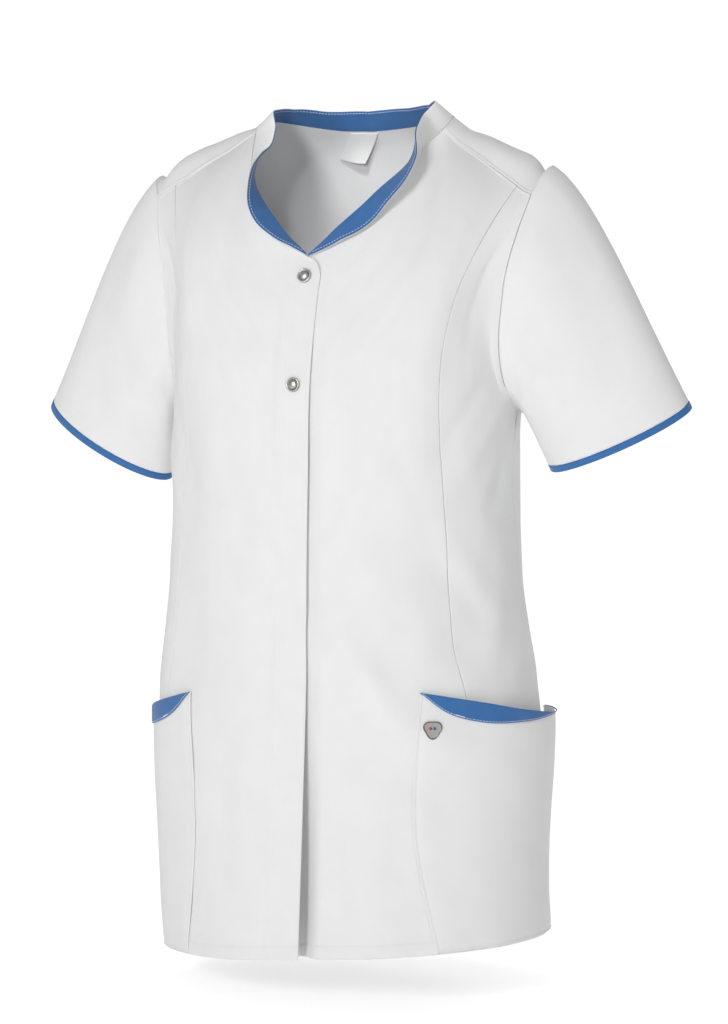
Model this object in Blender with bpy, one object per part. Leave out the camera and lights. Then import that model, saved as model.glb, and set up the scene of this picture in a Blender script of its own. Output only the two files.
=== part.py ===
"""Short-sleeved medical tunic, standing as it is worn, with nobody in it.

Metres, +Z up, front towards -Y, the wearer's left towards +X.
The origin is midway between the two shoulder neck points, where the wearer's shoulders carry it.
Every panel is a cloth wall on one smooth surface: columns of points run from the hem up to the
neckline, the yoke seam or the armhole, and neighbouring panels share the points of their seam.
"""
import math

import bmesh
import bpy
import numpy as np

# Cloth walls and seams
CLOTH = 0.0012
BAND_CLOTH = 0.0010
BINDING_CLOTH = 0.0020
LABEL_CLOTH = 0.0010
SEAM_GAP = 0.0005
SAME_POINT = 0.0005
LAYER_GAP = 0.0003

# Closure: the right front laps over the left one
LAP = 0.016
PLACKET_WIDTH = 0.031
PLACKET_RISE = 0.0015
UNDERLAP_DROP = 0.0013
TOP_LAYER_STEP = 0.0011
PLACKET_SLOPE = 0.006
UNDERLAP_REACH = 0.030
UNDERLAP_SLOPE = 0.012
LAP_CORNER_DROP = 0.018
LAP_CORNER_FORWARD = 0.006
LAP_CORNER_ROUND = 0.98
CLOSURE_FADE = 0.030
HEM_RECESS = 0.009
HEM_RECESS_FROM = -0.47
HEM_RECESS_SLOPE = 0.016
HEM_LEVEL = -0.756
SWING_WIDTH = 0.060

# Soft folds: radius at which their widths are measured, and the shares over which they fade
FOLD_RADIUS = 0.17
FOLD_FADE_IN = 0.35
FOLD_FADE_OUT = 0.25

# Sleeve ends
BINDING_WIDTH = 0.0068
CUFFS = {
    "left": dict(centre=(0.2611, 0.0133, -0.2927), long=(0.0643, 0.0, 0.0263), short=(0.0, 0.0330, 0.0145)),
    "right": dict(centre=(0.2607, 0.0131, -0.2983), long=(0.0655, 0.0, 0.0350), short=(0.0, 0.0280, 0.0105)),
}
SLEEVE_END_DIRECTION = (0.47, 0.04, -0.88)
SLEEVE_LEAVE = 0.66

# Collar band
COLLAR_BACK_WIDTH = 0.0215
COLLAR_FRONT_WIDTH = 0.0222
COLLAR_TIP_WIDTH = 0.0015
COLLAR_TIP_SET_BACK = 0.28
COLLAR_TAPER = 0.23
COLLAR_BASE_LIFT = 0.0005
COLLAR_ROLL_AT = 0.34
COLLAR_ROLL_SPREAD = 0.20

# How the band rolls outwards in front. at and spread: shares of the way from its point to the
# centre back; lean: degrees from standing up
COLLAR_ROLL = dict(
    columns=("hand", "lean", "at", "spread"),
    rows=(
        (1, 168, 0.434, 0.531),
        (-1, 134, 0.290, 0.307),
    ),
)

# Pockets
POCKET_BACK_REACH = 0.040
POCKET_STAND_OFF = {"left": 0.0125, "right": 0.0055}
POCKET_HEM_CLEARANCE = 0.0015
POCKET_GAP = 0.0012
POCKET_OPENS_FROM = 0.15
FACING_GAP = 0.0006
FACING_DEPTH = 0.0165
FACING_LEAST = 0.06

# Press stud caps, badge and label
SNAP_DIAMETER = 0.013
SNAP_HEIGHT = 0.0026
SNAP_GAP = 0.00105
SNAP_LEVELS = (-0.1475, -0.2440)
BADGE_SIZE = 0.0160
BADGE_HEIGHT = 0.0016
BADGE_GAP = 0.00055
BADGE_CORNERS = 0.13
BADGE_DROP = 0.15
LABEL_SIZE = (0.0280, 0.0310)
LABEL_CENTRE_X = -0.009
LABEL_TOP = 0.001
LABEL_SLANT = 0.011
LABEL_CURL = 0.004
LABEL_CURL_OTHER_SIDE = 0.4

# Grid of each panel
ROWS = 24
ROW_CROWDING = 0.25
FAN_FROM = 0.20
EVEN_FROM = 0.40
EVEN_FADE = 0.20
EVEN_STEP = 0.45
EVEN_ROUNDS = 14
LAP_COLUMNS = 2
NECK_FRONT_COLUMNS = 8
NECK_BACK_COLUMNS = 8
YOKE_SHARES = (0.0, 0.21, 0.42, 0.62, 0.82, 1.0)
ARMHOLE_FRONT_COLUMNS = 8
ARMHOLE_BACK_COLUMNS = 12
ARMHOLE_TOP_COLUMNS = 2
SLEEVE_ROWS = 10
COLLAR_COLUMNS = 48
POCKET_COLUMNS = 14
POCKET_ROWS = 9

# Level rings of the body below the armpit. square: 2 is an ellipse, more is boxier.
RING = dict(
    columns=("z", "half_width", "front", "back", "square", "princess_x", "seam_y"),
    rows=(
        (-0.273, 0.1655, 0.117, 0.090, 2.50, 0.128, -0.002),
        (-0.332, 0.1665, 0.118, 0.084, 2.45, 0.131, -0.010),
        (-0.392, 0.1695, 0.120, 0.076, 2.35, 0.135, -0.003),
        (-0.444, 0.1725, 0.121, 0.080, 2.30, 0.138, 0.001),
        (-0.490, 0.1780, 0.122, 0.098, 2.25, 0.142, 0.009),
        (-0.540, 0.1820, 0.124, 0.110, 2.20, 0.152, 0.014),
        (-0.640, 0.1835, 0.127, 0.116, 2.15, 0.155, 0.016),
        (-0.760, 0.1850, 0.130, 0.117, 2.10, 0.158, 0.016),
    ),
)

# How the worn tunic hangs askew: sideways shift, rise per metre towards the wearer's left, swing
# of the front opening, and drop of the wearer's left shoulder between the neck and the armhole
STANCE = dict(
    columns=("z", "sway", "tilt", "swing", "drop"),
    rows=(
        (-0.760, 0.0055, 0.085, -0.0140, 0.0),
        (-0.620, 0.0010, 0.062, -0.0055, 0.0),
        (-0.520, -0.0015, 0.045, -0.0010, 0.0),
        (-0.420, -0.0030, 0.015, 0.0, 0.0),
        (-0.273, -0.0025, 0.0, 0.0, 0.0),
        (-0.200, -0.0015, -0.002, 0.0, 0.0),
        (-0.100, 0.0, -0.004, 0.0, 0.008),
        (0.020, 0.0, -0.004, 0.0, 0.008),
    ),
)
DROP_FROM = 0.085
DROP_TO = 0.205
DROP_SLOPE = 0.028

# Seams above the armpit, on the wearer's left
NECK_SEAM = dict(
    columns=("x", "y", "z"),
    rows=(
        (0.0000, -0.0905, -0.1300),
        (0.0174, -0.0889, -0.1150),
        (0.0352, -0.0829, -0.0975),
        (0.0515, -0.0753, -0.0817),
        (0.0647, -0.0665, -0.0670),
        (0.0755, -0.0550, -0.0534),
        (0.0823, -0.0400, -0.0385),
        (0.0875, -0.0280, -0.0270),
        (0.0950, -0.0077, -0.0107),
        (0.0966, 0.0078, 0.0000),
        (0.0800, 0.0340, 0.0000),
        (0.0460, 0.0450, -0.0050),
        (0.0000, 0.0480, -0.0085),
    ),
)
NECK_FRONT_ROWS = 9
YOKE_SEAM = dict(
    columns=("x", "y", "z"),
    rows=(
        (0.0950, -0.0077, -0.0107),
        (0.1160, -0.0085, -0.0230),
        (0.1390, -0.0125, -0.0370),
        (0.1650, -0.0200, -0.0535),
        (0.1885, -0.0283, -0.0690),
    ),
)
ARMHOLE_FRONT = dict(
    columns=("x", "y", "z"),
    rows=(
        (0.1885, -0.0283, -0.0690),
        (0.1799, -0.0420, -0.1046),
        (0.1723, -0.0462, -0.1377),
        (0.1680, -0.0462, -0.1741),
        (0.1655, -0.0425, -0.2150),
        (0.1655, -0.0280, -0.2450),
        (0.1665, -0.0020, -0.2640),
    ),
)
ARMHOLE_BACK = dict(
    columns=("x", "y", "z"),
    rows=(
        (0.1665, -0.0020, -0.2640),
        (0.1665, 0.0270, -0.2480),
        (0.1680, 0.0430, -0.2150),
        (0.1710, 0.0500, -0.1750),
        (0.1770, 0.0470, -0.1300),
        (0.1860, 0.0350, -0.0850),
        (0.1955, 0.0160, -0.0555),
        (0.1990, 0.0000, -0.0475),
        (0.1965, -0.0150, -0.0530),
        (0.1885, -0.0283, -0.0690),
    ),
)

# Directions in which the front columns reach their top, by column station
FRONT_TOP = dict(
    columns=("station", "x", "y", "z", "reach"),
    rows=(
        ("lap", 0.00, 0.24, 0.97, 0.9),
        ("centre", 0.00, 0.27, 0.96, 0.9),
        ("neck_middle", -0.12, 0.45, 0.88, 1.0),
        ("yoke_neck", -0.43, 0.62, 0.66, 1.25),
        ("princess", 0.30, 0.62, 0.72, 1.2),
        ("yoke_armhole", 0.55, 0.45, 0.70, 1.1),
        ("armhole_middle", 0.50, 0.25, 0.83, 1.0),
        ("side", 0.06, 0.02, 1.00, 1.0),
    ),
)

# Line behind the armhole, the shoulder and the neck that the back columns pass, by column share:
# 0 side seam, 1 shoulder point, 2 yoke seam at the armhole, 3 yoke seam at the neck, 4 centre back
BACK_PASS = dict(
    columns=("share", "x", "y", "z"),
    rows=(
        (0.00, 0.1662, -0.0015, -0.2750),
        (0.25, 0.1605, 0.0300, -0.2520),
        (0.50, 0.1565, 0.0500, -0.2150),
        (0.75, 0.1600, 0.0570, -0.1650),
        (0.90, 0.1670, 0.0510, -0.1150),
        (1.00, 0.1780, 0.0400, -0.0740),
        (1.50, 0.1850, 0.0280, -0.0480),
        (2.00, 0.1810, 0.0210, -0.0330),
        (2.50, 0.1560, 0.0240, -0.0205),
        (3.00, 0.1290, 0.0300, -0.0120),
        (3.20, 0.1140, 0.0380, -0.0090),
        (3.50, 0.0790, 0.0570, -0.0150),
        (3.75, 0.0420, 0.0610, -0.0230),
        (4.00, 0.0000, 0.0610, -0.0260),
    ),
)
BACK_PASS_PULL = 0.7

# Directions in which the sleeve leaves the armhole, from its top round to the armpit
SLEEVE_START = dict(
    columns=("share", "out", "round", "down"),
    rows=(
        (0.0, 0.76, 0.00, -0.58),
        (0.35, 0.74, 0.22, -0.62),
        (0.7, 0.74, 0.12, -0.64),
        (1.0, 0.88, 0.00, -0.45),
    ),
)

# Largest soft folds. around: degrees from the front centre towards the wearer's left
FOLDS = dict(
    columns=("around", "lean", "high", "low", "width", "depth"),
    rows=(
        (-52, 10, -0.20, -0.56, 0.034, -0.0045),
        (-70, -6, -0.40, -0.80, 0.030, 0.0040),
        (-24, -8, -0.46, -0.80, 0.034, 0.0040),
        (36, 60, -0.44, -0.60, 0.030, 0.0035),
        (22, 0, -0.16, -0.33, 0.024, 0.0025),
        (58, 22, -0.36, -0.52, 0.028, -0.0045),
        (128, 14, -0.30, -0.80, 0.036, -0.0050),
        (150, 6, -0.34, -0.82, 0.034, 0.0060),
        (176, -5, -0.30, -0.82, 0.034, -0.0050),
        (-156, 4, -0.34, -0.82, 0.036, 0.0060),
        (-130, -12, -0.30, -0.80, 0.034, -0.0045),
    ),
)

# Front edge of the pocket, and the height of its mouth along it
POCKET_EDGE = dict(
    columns=("z", "x"),
    rows=(
        (-0.760, 0.125),
        (-0.725, 0.119),
        (-0.690, 0.113),
        (-0.640, 0.108),
        (-0.580, 0.110),
        (-0.515, 0.115),
    ),
)
POCKET_MOUTH = dict(
    columns=("share", "z", "stand_off", "facing"),
    rows=(
        (0.0, -0.5190, 0.00, 0.00),
        (0.12, -0.5235, 0.10, 0.62),
        (0.3, -0.5310, 0.40, 1.00),
        (0.5, -0.5410, 0.80, 0.72),
        (0.75, -0.5490, 1.00, 0.15),
        (1.0, -0.5480, 0.55, 0.00),
    ),
)

COLOURS = {
    "white": ((0.80, 0.80, 0.79, 1.0), 0.85, 0.0),
    "blue": ((0.05, 0.17, 0.42, 1.0), 0.80, 0.0),
    "metal": ((0.55, 0.54, 0.52, 1.0), 0.30, 1.0),
    "label": ((0.84, 0.84, 0.83, 1.0), 0.70, 0.0),
}


def table(data, *names):
    """The named columns of a table as one array, a row for each of its rows."""
    picks = [data["columns"].index(name) for name in names]
    return np.array([[row[pick] for pick in picks] for row in data["rows"]], float)


def hermite(p0, t0, p1, t1, share):
    s = np.asarray(share)[..., None]
    return ((2 * s**3 - 3 * s**2 + 1) * p0 + (s**3 - 2 * s**2 + s) * t0
            + (-2 * s**3 + 3 * s**2) * p1 + (s**3 - s**2) * t1)


def through(stations, values, at):
    """Smooth curve through rows of values given at rising stations, read at other stations."""
    stations = np.asarray(stations, float)
    values = np.asarray(values, float)
    steps = np.diff(stations)
    slopes = np.diff(values, axis=0) / steps[:, None]
    tangents = np.vstack([slopes[:1], (slopes[:-1] * steps[1:, None] + slopes[1:] * steps[:-1, None])
                          / (steps[1:] + steps[:-1])[:, None], slopes[-1:]])
    at = np.clip(np.atleast_1d(at), stations[0], stations[-1])
    cell = np.clip(np.searchsorted(stations, at, side="right") - 1, 0, len(steps) - 1)
    width = steps[cell][:, None]
    share = (at - stations[cell]) / steps[cell]
    return hermite(values[cell], tangents[cell] * width, values[cell + 1], tangents[cell + 1] * width,
                   share)


def table_at(data, key, names, at):
    rows = table(data, key, *names)
    rows = rows[np.argsort(rows[:, 0])]
    return through(rows[:, 0], rows[:, 1:], at)


def lengths(points):
    return np.concatenate([[0.0], np.cumsum(np.linalg.norm(np.diff(points, axis=0), axis=1))])


def along(points, places):
    """Points at the given distances along a polyline."""
    run = lengths(points)
    return np.stack([np.interp(places, run, points[:, axis]) for axis in range(3)], 1)


def seam_points(rows, shares):
    """Points at the given shares of a smooth seam's length."""
    rows = np.asarray(rows, float)
    run = lengths(rows)
    dense = through(run, rows, np.linspace(0, run[-1], 400))
    return along(dense, np.asarray(shares) * lengths(dense)[-1])


def unit(vectors):
    return vectors / np.linalg.norm(vectors, axis=-1, keepdims=True)


def arc(start, direction, end, count):
    """Circular arc between two points, leaving the first one in the given direction."""
    chord = end - start
    along_chord = unit(chord)
    turn = math.acos(np.clip(np.dot(direction, along_chord), -1, 0.99999))
    aside = unit(direction - np.dot(direction, along_chord) * along_chord)
    radius = np.linalg.norm(chord) / (2 * math.sin(turn))
    left = turn - 2 * turn * np.linspace(0, 1, count)[:, None]
    return (start + radius * ((math.sin(turn) - np.sin(left)) * along_chord
                              + (np.cos(left) - math.cos(turn)) * aside))


def smooth_step(x):
    x = np.clip(x, 0.0, 1.0)
    return x * x * (3 - 2 * x)


# Body rings

def ring_outline(z):
    """Half of the level ring at height z, from the front centre to the back centre."""
    width, front, back, square = table_at(RING, "z", ("half_width", "front", "back", "square"), z)[0]
    angle = np.linspace(0, math.pi, 241)
    side = np.abs(np.sin(angle)) / width
    ahead = np.cos(angle) > 0
    depth = np.where(ahead, front, back)
    power = np.where(ahead, square, 2.0)
    radius = (side**power + (np.abs(np.cos(angle)) / depth)**power) ** (-1 / power)
    return np.stack([radius * np.sin(angle), -radius * np.cos(angle), np.full_like(angle, z)], 1)


def ring_stations(z):
    """Distances along the ring of the front centre, the princess seam, the side seam and the back."""
    outline = ring_outline(z)
    run = lengths(outline)
    princess_x, seam_y = table_at(RING, "z", ("princess_x", "seam_y"), z)[0]
    front_part = outline[:, 1] < 0
    princess = np.interp(princess_x, outline[front_part, 0], run[front_part])
    side = np.interp(seam_y, outline[:, 1], run)
    return outline, run, (0.0, princess, side, run[-1])


def ring_points(z, stations):
    """Points of the ring at u stations: 0 front centre, 1 princess, 2 side seam, 3 back centre.

    A negative station is a distance in metres past the front centre.
    """
    outline, run, marks = ring_stations(z)
    stations = np.asarray(stations, float)
    places = np.where(stations < 0, -stations, np.interp(stations, (0, 1, 2, 3), marks))
    points = along(outline, places)
    points[:, 0] *= np.where(stations < 0, -1, 1)
    return points


# Seams above the armpit

NECK_ROWS = table(NECK_SEAM, "x", "y", "z")
NECK_FRONT = seam_points(NECK_ROWS[:NECK_FRONT_ROWS], np.linspace(0, 1, NECK_FRONT_COLUMNS + 1))
NECK_BACK = seam_points(NECK_ROWS[NECK_FRONT_ROWS - 1:], np.linspace(0, 1, NECK_BACK_COLUMNS + 1))
YOKE = seam_points(table(YOKE_SEAM, "x", "y", "z"), YOKE_SHARES)
ARM_FRONT = seam_points(table(ARMHOLE_FRONT, "x", "y", "z"), np.linspace(0, 1, ARMHOLE_FRONT_COLUMNS + 1))
ARM_BACK = seam_points(table(ARMHOLE_BACK, "x", "y", "z"), np.linspace(0, 1, ARMHOLE_BACK_COLUMNS + 1))


def column_stations(start, end, count):
    return list(np.linspace(start, end, count + 1))


def columns_to_top(stations, tops, bend):
    """Dense columns of points from the hem to their tops, one for each station."""
    levels = np.linspace(HEM_LEVEL, RING["rows"][0][0], 48)
    rings = np.array([ring_points(level, stations) for level in levels])
    return [np.vstack([rings[:-1, i], bend(rings[-2:, i], tops[i], i)]) for i in range(len(tops))]


def resample(columns, side_length):
    """Rows that lie level at the hem, fan out above the waist and draw together at the tops."""
    share = np.linspace(0, 1, ROWS + 1)
    level = share + ROW_CROWDING * share * (1 - share)
    fan = smooth_step((share - FAN_FROM) / (1 - FAN_FROM))
    grid = []
    for column in columns:
        extra = lengths(column)[-1] - side_length
        grid.append(along(column, side_length * level + extra * fan))
    return np.array(grid).transpose(1, 0, 2)


def evened(grid):
    """The grid with its inner points above the waist evened out; its rim stays."""
    hold = smooth_step((np.linspace(0, 1, grid.shape[0])[1:-1, None, None] - EVEN_FROM) / EVEN_FADE)
    grid = grid.copy()
    for _ in range(EVEN_ROUNDS):
        bend = np.zeros_like(grid)
        bend[1:-1, 1:-1] = neighbour_mean(grid) - grid[1:-1, 1:-1]
        grid[1:-1, 1:-1] -= EVEN_STEP * hold * (neighbour_mean(bend) - bend[1:-1, 1:-1])
    return grid


def neighbour_mean(grid):
    return (grid[:-2, 1:-1] + grid[2:, 1:-1] + grid[1:-1, :-2] + grid[1:-1, 2:]) / 4


def front_columns():
    """Columns of one front, from the lap to the side seam, on the wearer's left."""
    share = np.linspace(1, 0, LAP_COLUMNS + 1)[:-1]
    _, neck_y, neck_z = NECK_ROWS[0]
    corner = 1 - np.sqrt(1 - LAP_CORNER_ROUND * share**2)
    lap = np.stack([-LAP * share, neck_y - LAP_CORNER_FORWARD * share**2,
                    neck_z - LAP_CORNER_DROP * corner], 1)
    tops = np.vstack([lap, NECK_FRONT, YOKE[1:], ARM_FRONT[1:]])
    centre_columns = NECK_FRONT_COLUMNS + len(YOKE_SHARES) - 2
    stations = list(-LAP * share) + column_stations(0, 1, centre_columns)
    stations += column_stations(1, 2, ARMHOLE_FRONT_COLUMNS + 1)[1:]
    marks = (0, LAP_COLUMNS, LAP_COLUMNS + 5, LAP_COLUMNS + NECK_FRONT_COLUMNS,
             LAP_COLUMNS + centre_columns, LAP_COLUMNS + centre_columns + 1,
             LAP_COLUMNS + centre_columns + 5, LAP_COLUMNS + centre_columns + 1 + ARMHOLE_FRONT_COLUMNS)
    ends = through(marks, table(FRONT_TOP, "x", "y", "z", "reach"), np.arange(len(tops)))

    def bend(ring_pair, top, i):
        base = ring_pair[1]
        reach = np.linalg.norm(top - base)
        leave = unit(ring_pair[1] - ring_pair[0]) * reach
        return hermite(base, leave, top, unit(ends[i, :3]) * reach * ends[i, 3], np.linspace(0, 1, 40))

    return columns_to_top(stations, tops, bend), LAP_COLUMNS + centre_columns


def back_columns():
    """Columns of half the back, from the side seam to the centre back, on the wearer's left."""
    tops = np.vstack([ARM_BACK, YOKE[::-1][1:], NECK_BACK[1:]])
    stations = column_stations(2, 3, len(tops) - 1)
    marks = np.cumsum([0, ARMHOLE_BACK_COLUMNS - ARMHOLE_TOP_COLUMNS, ARMHOLE_TOP_COLUMNS,
                       len(YOKE_SHARES) - 1, NECK_BACK_COLUMNS])
    shares = np.interp(np.arange(len(tops)), marks, range(len(marks)))
    passes = table_at(BACK_PASS, "share", ("x", "y", "z"), shares)

    def bend(ring_pair, top, i):
        base, behind = ring_pair[1], passes[i]
        rise = np.linalg.norm(behind - base)
        leave = unit(ring_pair[1] - ring_pair[0]) * rise
        cross = unit(unit(behind - base) + unit(top - behind))
        lower = hermite(base, leave, behind, cross * rise * BACK_PASS_PULL, np.linspace(0, 1, 36))
        return np.vstack([lower, arc(behind, cross, top, 16)[1:]])

    return columns_to_top(stations, tops, bend)


# Folds, closure and stance

def place(points):
    """The stance of the worn tunic: shifted sideways and tilted."""
    values = table_at(STANCE, "z", ("sway", "tilt", "swing", "drop"), points[..., 2].ravel())
    sway, tilt, swing, drop = values.T.reshape((4,) + points.shape[:-1])
    near_opening = np.exp(-(points[..., 0] / SWING_WIDTH)**2) * (points[..., 1] < 0)
    on_shoulder = (smooth_step((points[..., 0] - DROP_FROM) / DROP_SLOPE)
                   * smooth_step((DROP_TO - points[..., 0]) / DROP_SLOPE))
    out = points.copy()
    out[..., 0] += sway + swing * near_opening
    out[..., 2] += points[..., 0] * tilt - drop * on_shoulder
    return out


def fold_height(points):
    """How far the soft folds push the body cloth outwards."""
    around = np.degrees(np.arctan2(points[..., 0], -points[..., 1]))
    push = np.zeros(points.shape[:-1])
    for middle, lean, high, low, width, depth in table(FOLDS, *FOLDS["columns"]):
        down = (high - points[..., 2]) / (high - low)
        centre = middle + lean * (down - 0.5)
        apart = (around - centre + 180) % 360 - 180
        across = np.radians(apart) * FOLD_RADIUS / width
        fade = smooth_step(down / FOLD_FADE_IN) * smooth_step((1 - down) / FOLD_FADE_OUT)
        push += depth * np.exp(-across**2) * fade
    return push


def lap_height(along_front, z, below_top, wearer_right):
    """Rise of the lapping right front, or drop of the left front under it."""
    near_top = smooth_step(below_top / CLOSURE_FADE)
    if wearer_right:
        rise = TOP_LAYER_STEP + (PLACKET_RISE - TOP_LAYER_STEP) * near_top
        return rise * smooth_step((PLACKET_WIDTH - LAP + PLACKET_SLOPE - along_front) / PLACKET_SLOPE)
    drop = TOP_LAYER_STEP + (UNDERLAP_DROP - TOP_LAYER_STEP) * near_top
    under = drop * smooth_step((UNDERLAP_REACH - along_front) / UNDERLAP_SLOPE)
    low = smooth_step((HEM_RECESS_FROM - z) / (HEM_RECESS_FROM - HEM_LEVEL))
    recess = HEM_RECESS * low * smooth_step((UNDERLAP_REACH - along_front) / HEM_RECESS_SLOPE)
    return -(under + recess)


def grid_normals(grid, closed=False):
    if closed:
        across = np.roll(grid, -1, 1) - np.roll(grid, 1, 1)
    else:
        across = np.gradient(grid, axis=1)
    return unit(np.cross(across, np.gradient(grid, axis=0)))


def mirrored(grid):
    """The same grid on the wearer's right, with its columns still running towards +X in front."""
    return (grid * np.array([-1.0, 1.0, 1.0]))[:, ::-1]


def build_grids():
    """Middle surfaces of all body and sleeve panels, with normals shared along the seams."""
    front, princess = front_columns()
    side_length = lengths(front[-1])[-1]
    front = resample(front, side_length)
    half_back = resample(back_columns(), side_length)
    back = evened(np.concatenate([half_back, mirrored(half_back)[:, 1:]], 1))
    fronts = {}
    for hand, grid in (("left", front), ("right", mirrored(front))):
        surface = grid + grid_normals(grid) * fold_height(grid)[..., None]
        from_centre = np.abs(grid[..., 0]) * np.where((grid[..., 0] < 0) == (hand == "left"), -1, 1)
        below = np.abs(grid[-1:, :, 2] - grid[..., 2])
        lift = lap_height(from_centre, grid[..., 2], below, hand == "right")
        fronts[hand] = surface + grid_normals(surface) * lift[..., None]
    back = back + grid_normals(back) * fold_height(back)[..., None]
    crown = ARMHOLE_BACK_COLUMNS - ARMHOLE_TOP_COLUMNS
    arm_loop = np.vstack([ARM_BACK[crown:-1], ARM_FRONT[:-1], ARM_BACK[:crown]])
    grids = {"back": place(back)}
    for hand in ("left", "right"):
        body = place(fronts[hand])
        cut = princess if hand == "left" else body.shape[1] - 1 - princess
        parts = (body[:, :cut + 1], body[:, cut:])
        centre, side = parts if hand == "left" else parts[::-1]
        grids["front_%s_centre" % hand] = centre
        grids["front_%s_side" % hand] = side
        sleeve = sleeve_grid(arm_loop, CUFFS[hand])
        grids["sleeve_" + hand] = place(sleeve if hand == "left" else mirrored(sleeve))
    return grids


def sleeve_grid(loop, cuff_sizes):
    """Sleeve tube as if on the wearer's left, from the armhole to the end of its binding."""
    armpit = ARMHOLE_TOP_COLUMNS + ARMHOLE_FRONT_COLUMNS
    run = lengths(np.vstack([loop, loop[:1]]))
    front = run[:-1] / run[armpit]
    back = (run[-1] - run[:-1]) / (run[-1] - run[armpit])
    index = np.arange(len(loop))
    share = np.where(index <= armpit, front, back)
    hand = np.where(index <= armpit, -1.0, 1.0)
    angle = math.pi * share * hand
    cuff = (np.array(cuff_sizes["centre"]) + np.outer(np.cos(angle), cuff_sizes["long"])
            + np.outer(np.sin(angle), cuff_sizes["short"]))
    start = table_at(SLEEVE_START, "share", ("out", "round", "down"), share)
    start[:, 1] *= hand
    start[0, 1] = 0.0
    reach = np.linalg.norm(cuff - loop, axis=1, keepdims=True)
    leave = unit(start) * reach * SLEEVE_LEAVE
    arrive = unit(np.array(SLEEVE_END_DIRECTION)) * reach
    steps = np.linspace(0, 1, 60)
    columns = [hermite(loop[i], leave[i], cuff[i], arrive[i], steps) for i in range(len(loop))]
    rows = []
    for column in columns:
        length = lengths(column)[-1]
        body = np.linspace(0, length - BINDING_WIDTH, SLEEVE_ROWS + 1)
        rows.append(along(column, np.append(body, length)))
    return np.array(rows).transpose(1, 0, 2)


def shared_normals(grids):
    """Vertex normals of every grid; panels that meet at a seam share its points and normals."""
    normals = {name: grid_normals(grid, name.startswith("sleeve")) for name, grid in grids.items()}
    rims = [(name, row, column) for name, grid in grids.items() for row in range(grid.shape[0])
            for column in range(grid.shape[1])
            if row in (0, grid.shape[0] - 1) or column in (0, grid.shape[1] - 1)]
    points = np.array([grids[name][row, column] for name, row, column in rims])
    facing = np.array([normals[name][row, column] for name, row, column in rims])
    for i, (name, row, column) in enumerate(rims):
        same = np.linalg.norm(points - points[i], axis=1) < SAME_POINT
        grids[name][row, column] = points[same].mean(0)
        normals[name][row, column] = unit(facing[same].sum(0))
    return normals


# Cloth solids

def pulled_back(grid, normals, sides, amount):
    """The grid with the named sides drawn in from their seams."""
    out = grid.copy()
    lines = {"first": (slice(None), 0, 1), "last": (slice(None), -1, -2)}
    for side in sides:
        if side in lines:
            at, beside = lines[side][1:]
            edge, inner, normal = grid[:, at], grid[:, beside], normals[:, at]
        else:
            at, beside = (0, 1) if side == "bottom" else (-1, -2)
            edge, inner, normal = grid[at], grid[beside], normals[at]
        tangent = np.gradient(edge, axis=0)
        inward = unit(np.cross(normal, tangent))
        inward *= np.sign(np.sum(inward * (inner - edge), -1, keepdims=True))
        if side in lines:
            out[:, lines[side][1]] += inward * amount
        else:
            out[at] += inward * amount
    return out


def cloth_mesh(name, grid, normals, thickness, closed=False):
    """Closed wall of the given thickness round the middle surface."""
    mesh = bpy.data.meshes.new(name)
    bm = bmesh.new()
    layers = []
    for sign in (0.5, -0.5):
        points = grid + normals * thickness * sign
        layers.append([[bm.verts.new(point) for point in row] for row in points])
    outer, inner = layers
    rows, columns = grid.shape[:2]
    spans = columns if closed else columns - 1
    for j in range(rows - 1):
        for i in range(spans):
            k = (i + 1) % columns
            bm.faces.new((outer[j][i], outer[j][k], outer[j + 1][k], outer[j + 1][i]))
            bm.faces.new((inner[j][i], inner[j + 1][i], inner[j + 1][k], inner[j][k]))
    for i in range(spans):
        k = (i + 1) % columns
        bm.faces.new((inner[0][i], inner[0][k], outer[0][k], outer[0][i]))
        bm.faces.new((outer[-1][i], outer[-1][k], inner[-1][k], inner[-1][i]))
    if not closed:
        for j in range(rows - 1):
            bm.faces.new((inner[j][0], outer[j][0], outer[j + 1][0], inner[j + 1][0]))
            bm.faces.new((outer[j][-1], inner[j][-1], inner[j + 1][-1], outer[j + 1][-1]))
    bmesh.ops.triangulate(bm, faces=bm.faces[:])
    bm.to_mesh(mesh)
    bm.free()
    return mesh


def material(name):
    if name in bpy.data.materials:
        return bpy.data.materials[name]
    colour, roughness, metallic = COLOURS[name]
    made = bpy.data.materials.new(name)
    made.use_nodes = True
    made.diffuse_color = colour
    shader = made.node_tree.nodes["Principled BSDF"]
    shader.inputs["Base Color"].default_value = colour
    shader.inputs["Roughness"].default_value = roughness
    shader.inputs["Metallic"].default_value = metallic
    return made


def add_object(name, mesh, finish):
    mesh.materials.append(material(finish))
    mesh.shade_smooth()
    mesh.set_sharp_from_angle(angle=math.radians(50))
    made = bpy.data.objects.new(name, mesh)
    bpy.context.scene.collection.objects.link(made)
    return made


def add_cloth(name, grid, normals, thickness, finish, sides=(), closed=False):
    grid = pulled_back(grid, normals, sides, SEAM_GAP / 2)
    return add_object(name, cloth_mesh(name, grid, normals, thickness, closed), finish)


# Body panels and sleeves

def add_body(grids, normals):
    seams = {
        "front_left_centre": ("last", "top"),
        "front_left_side": ("first", "last", "top"),
        "front_right_centre": ("first", "top"),
        "front_right_side": ("first", "last", "top"),
        "back": ("first", "last", "top"),
    }
    for name, sides in seams.items():
        add_cloth(name, grids[name], normals[name], CLOTH, "white", sides)


def add_sleeves(grids, normals):
    for hand in ("left", "right"):
        name = "sleeve_" + hand
        grid, normal = grids[name], normals[name]
        add_cloth(name, grid[:-1], normal[:-1], CLOTH, "white", ("bottom", "top"), closed=True)
        add_cloth("cuff_binding_" + hand, grid[-2:], normal[-2:], BINDING_CLOTH, "blue", ("bottom",),
                  closed=True)


# Collar band

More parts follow.
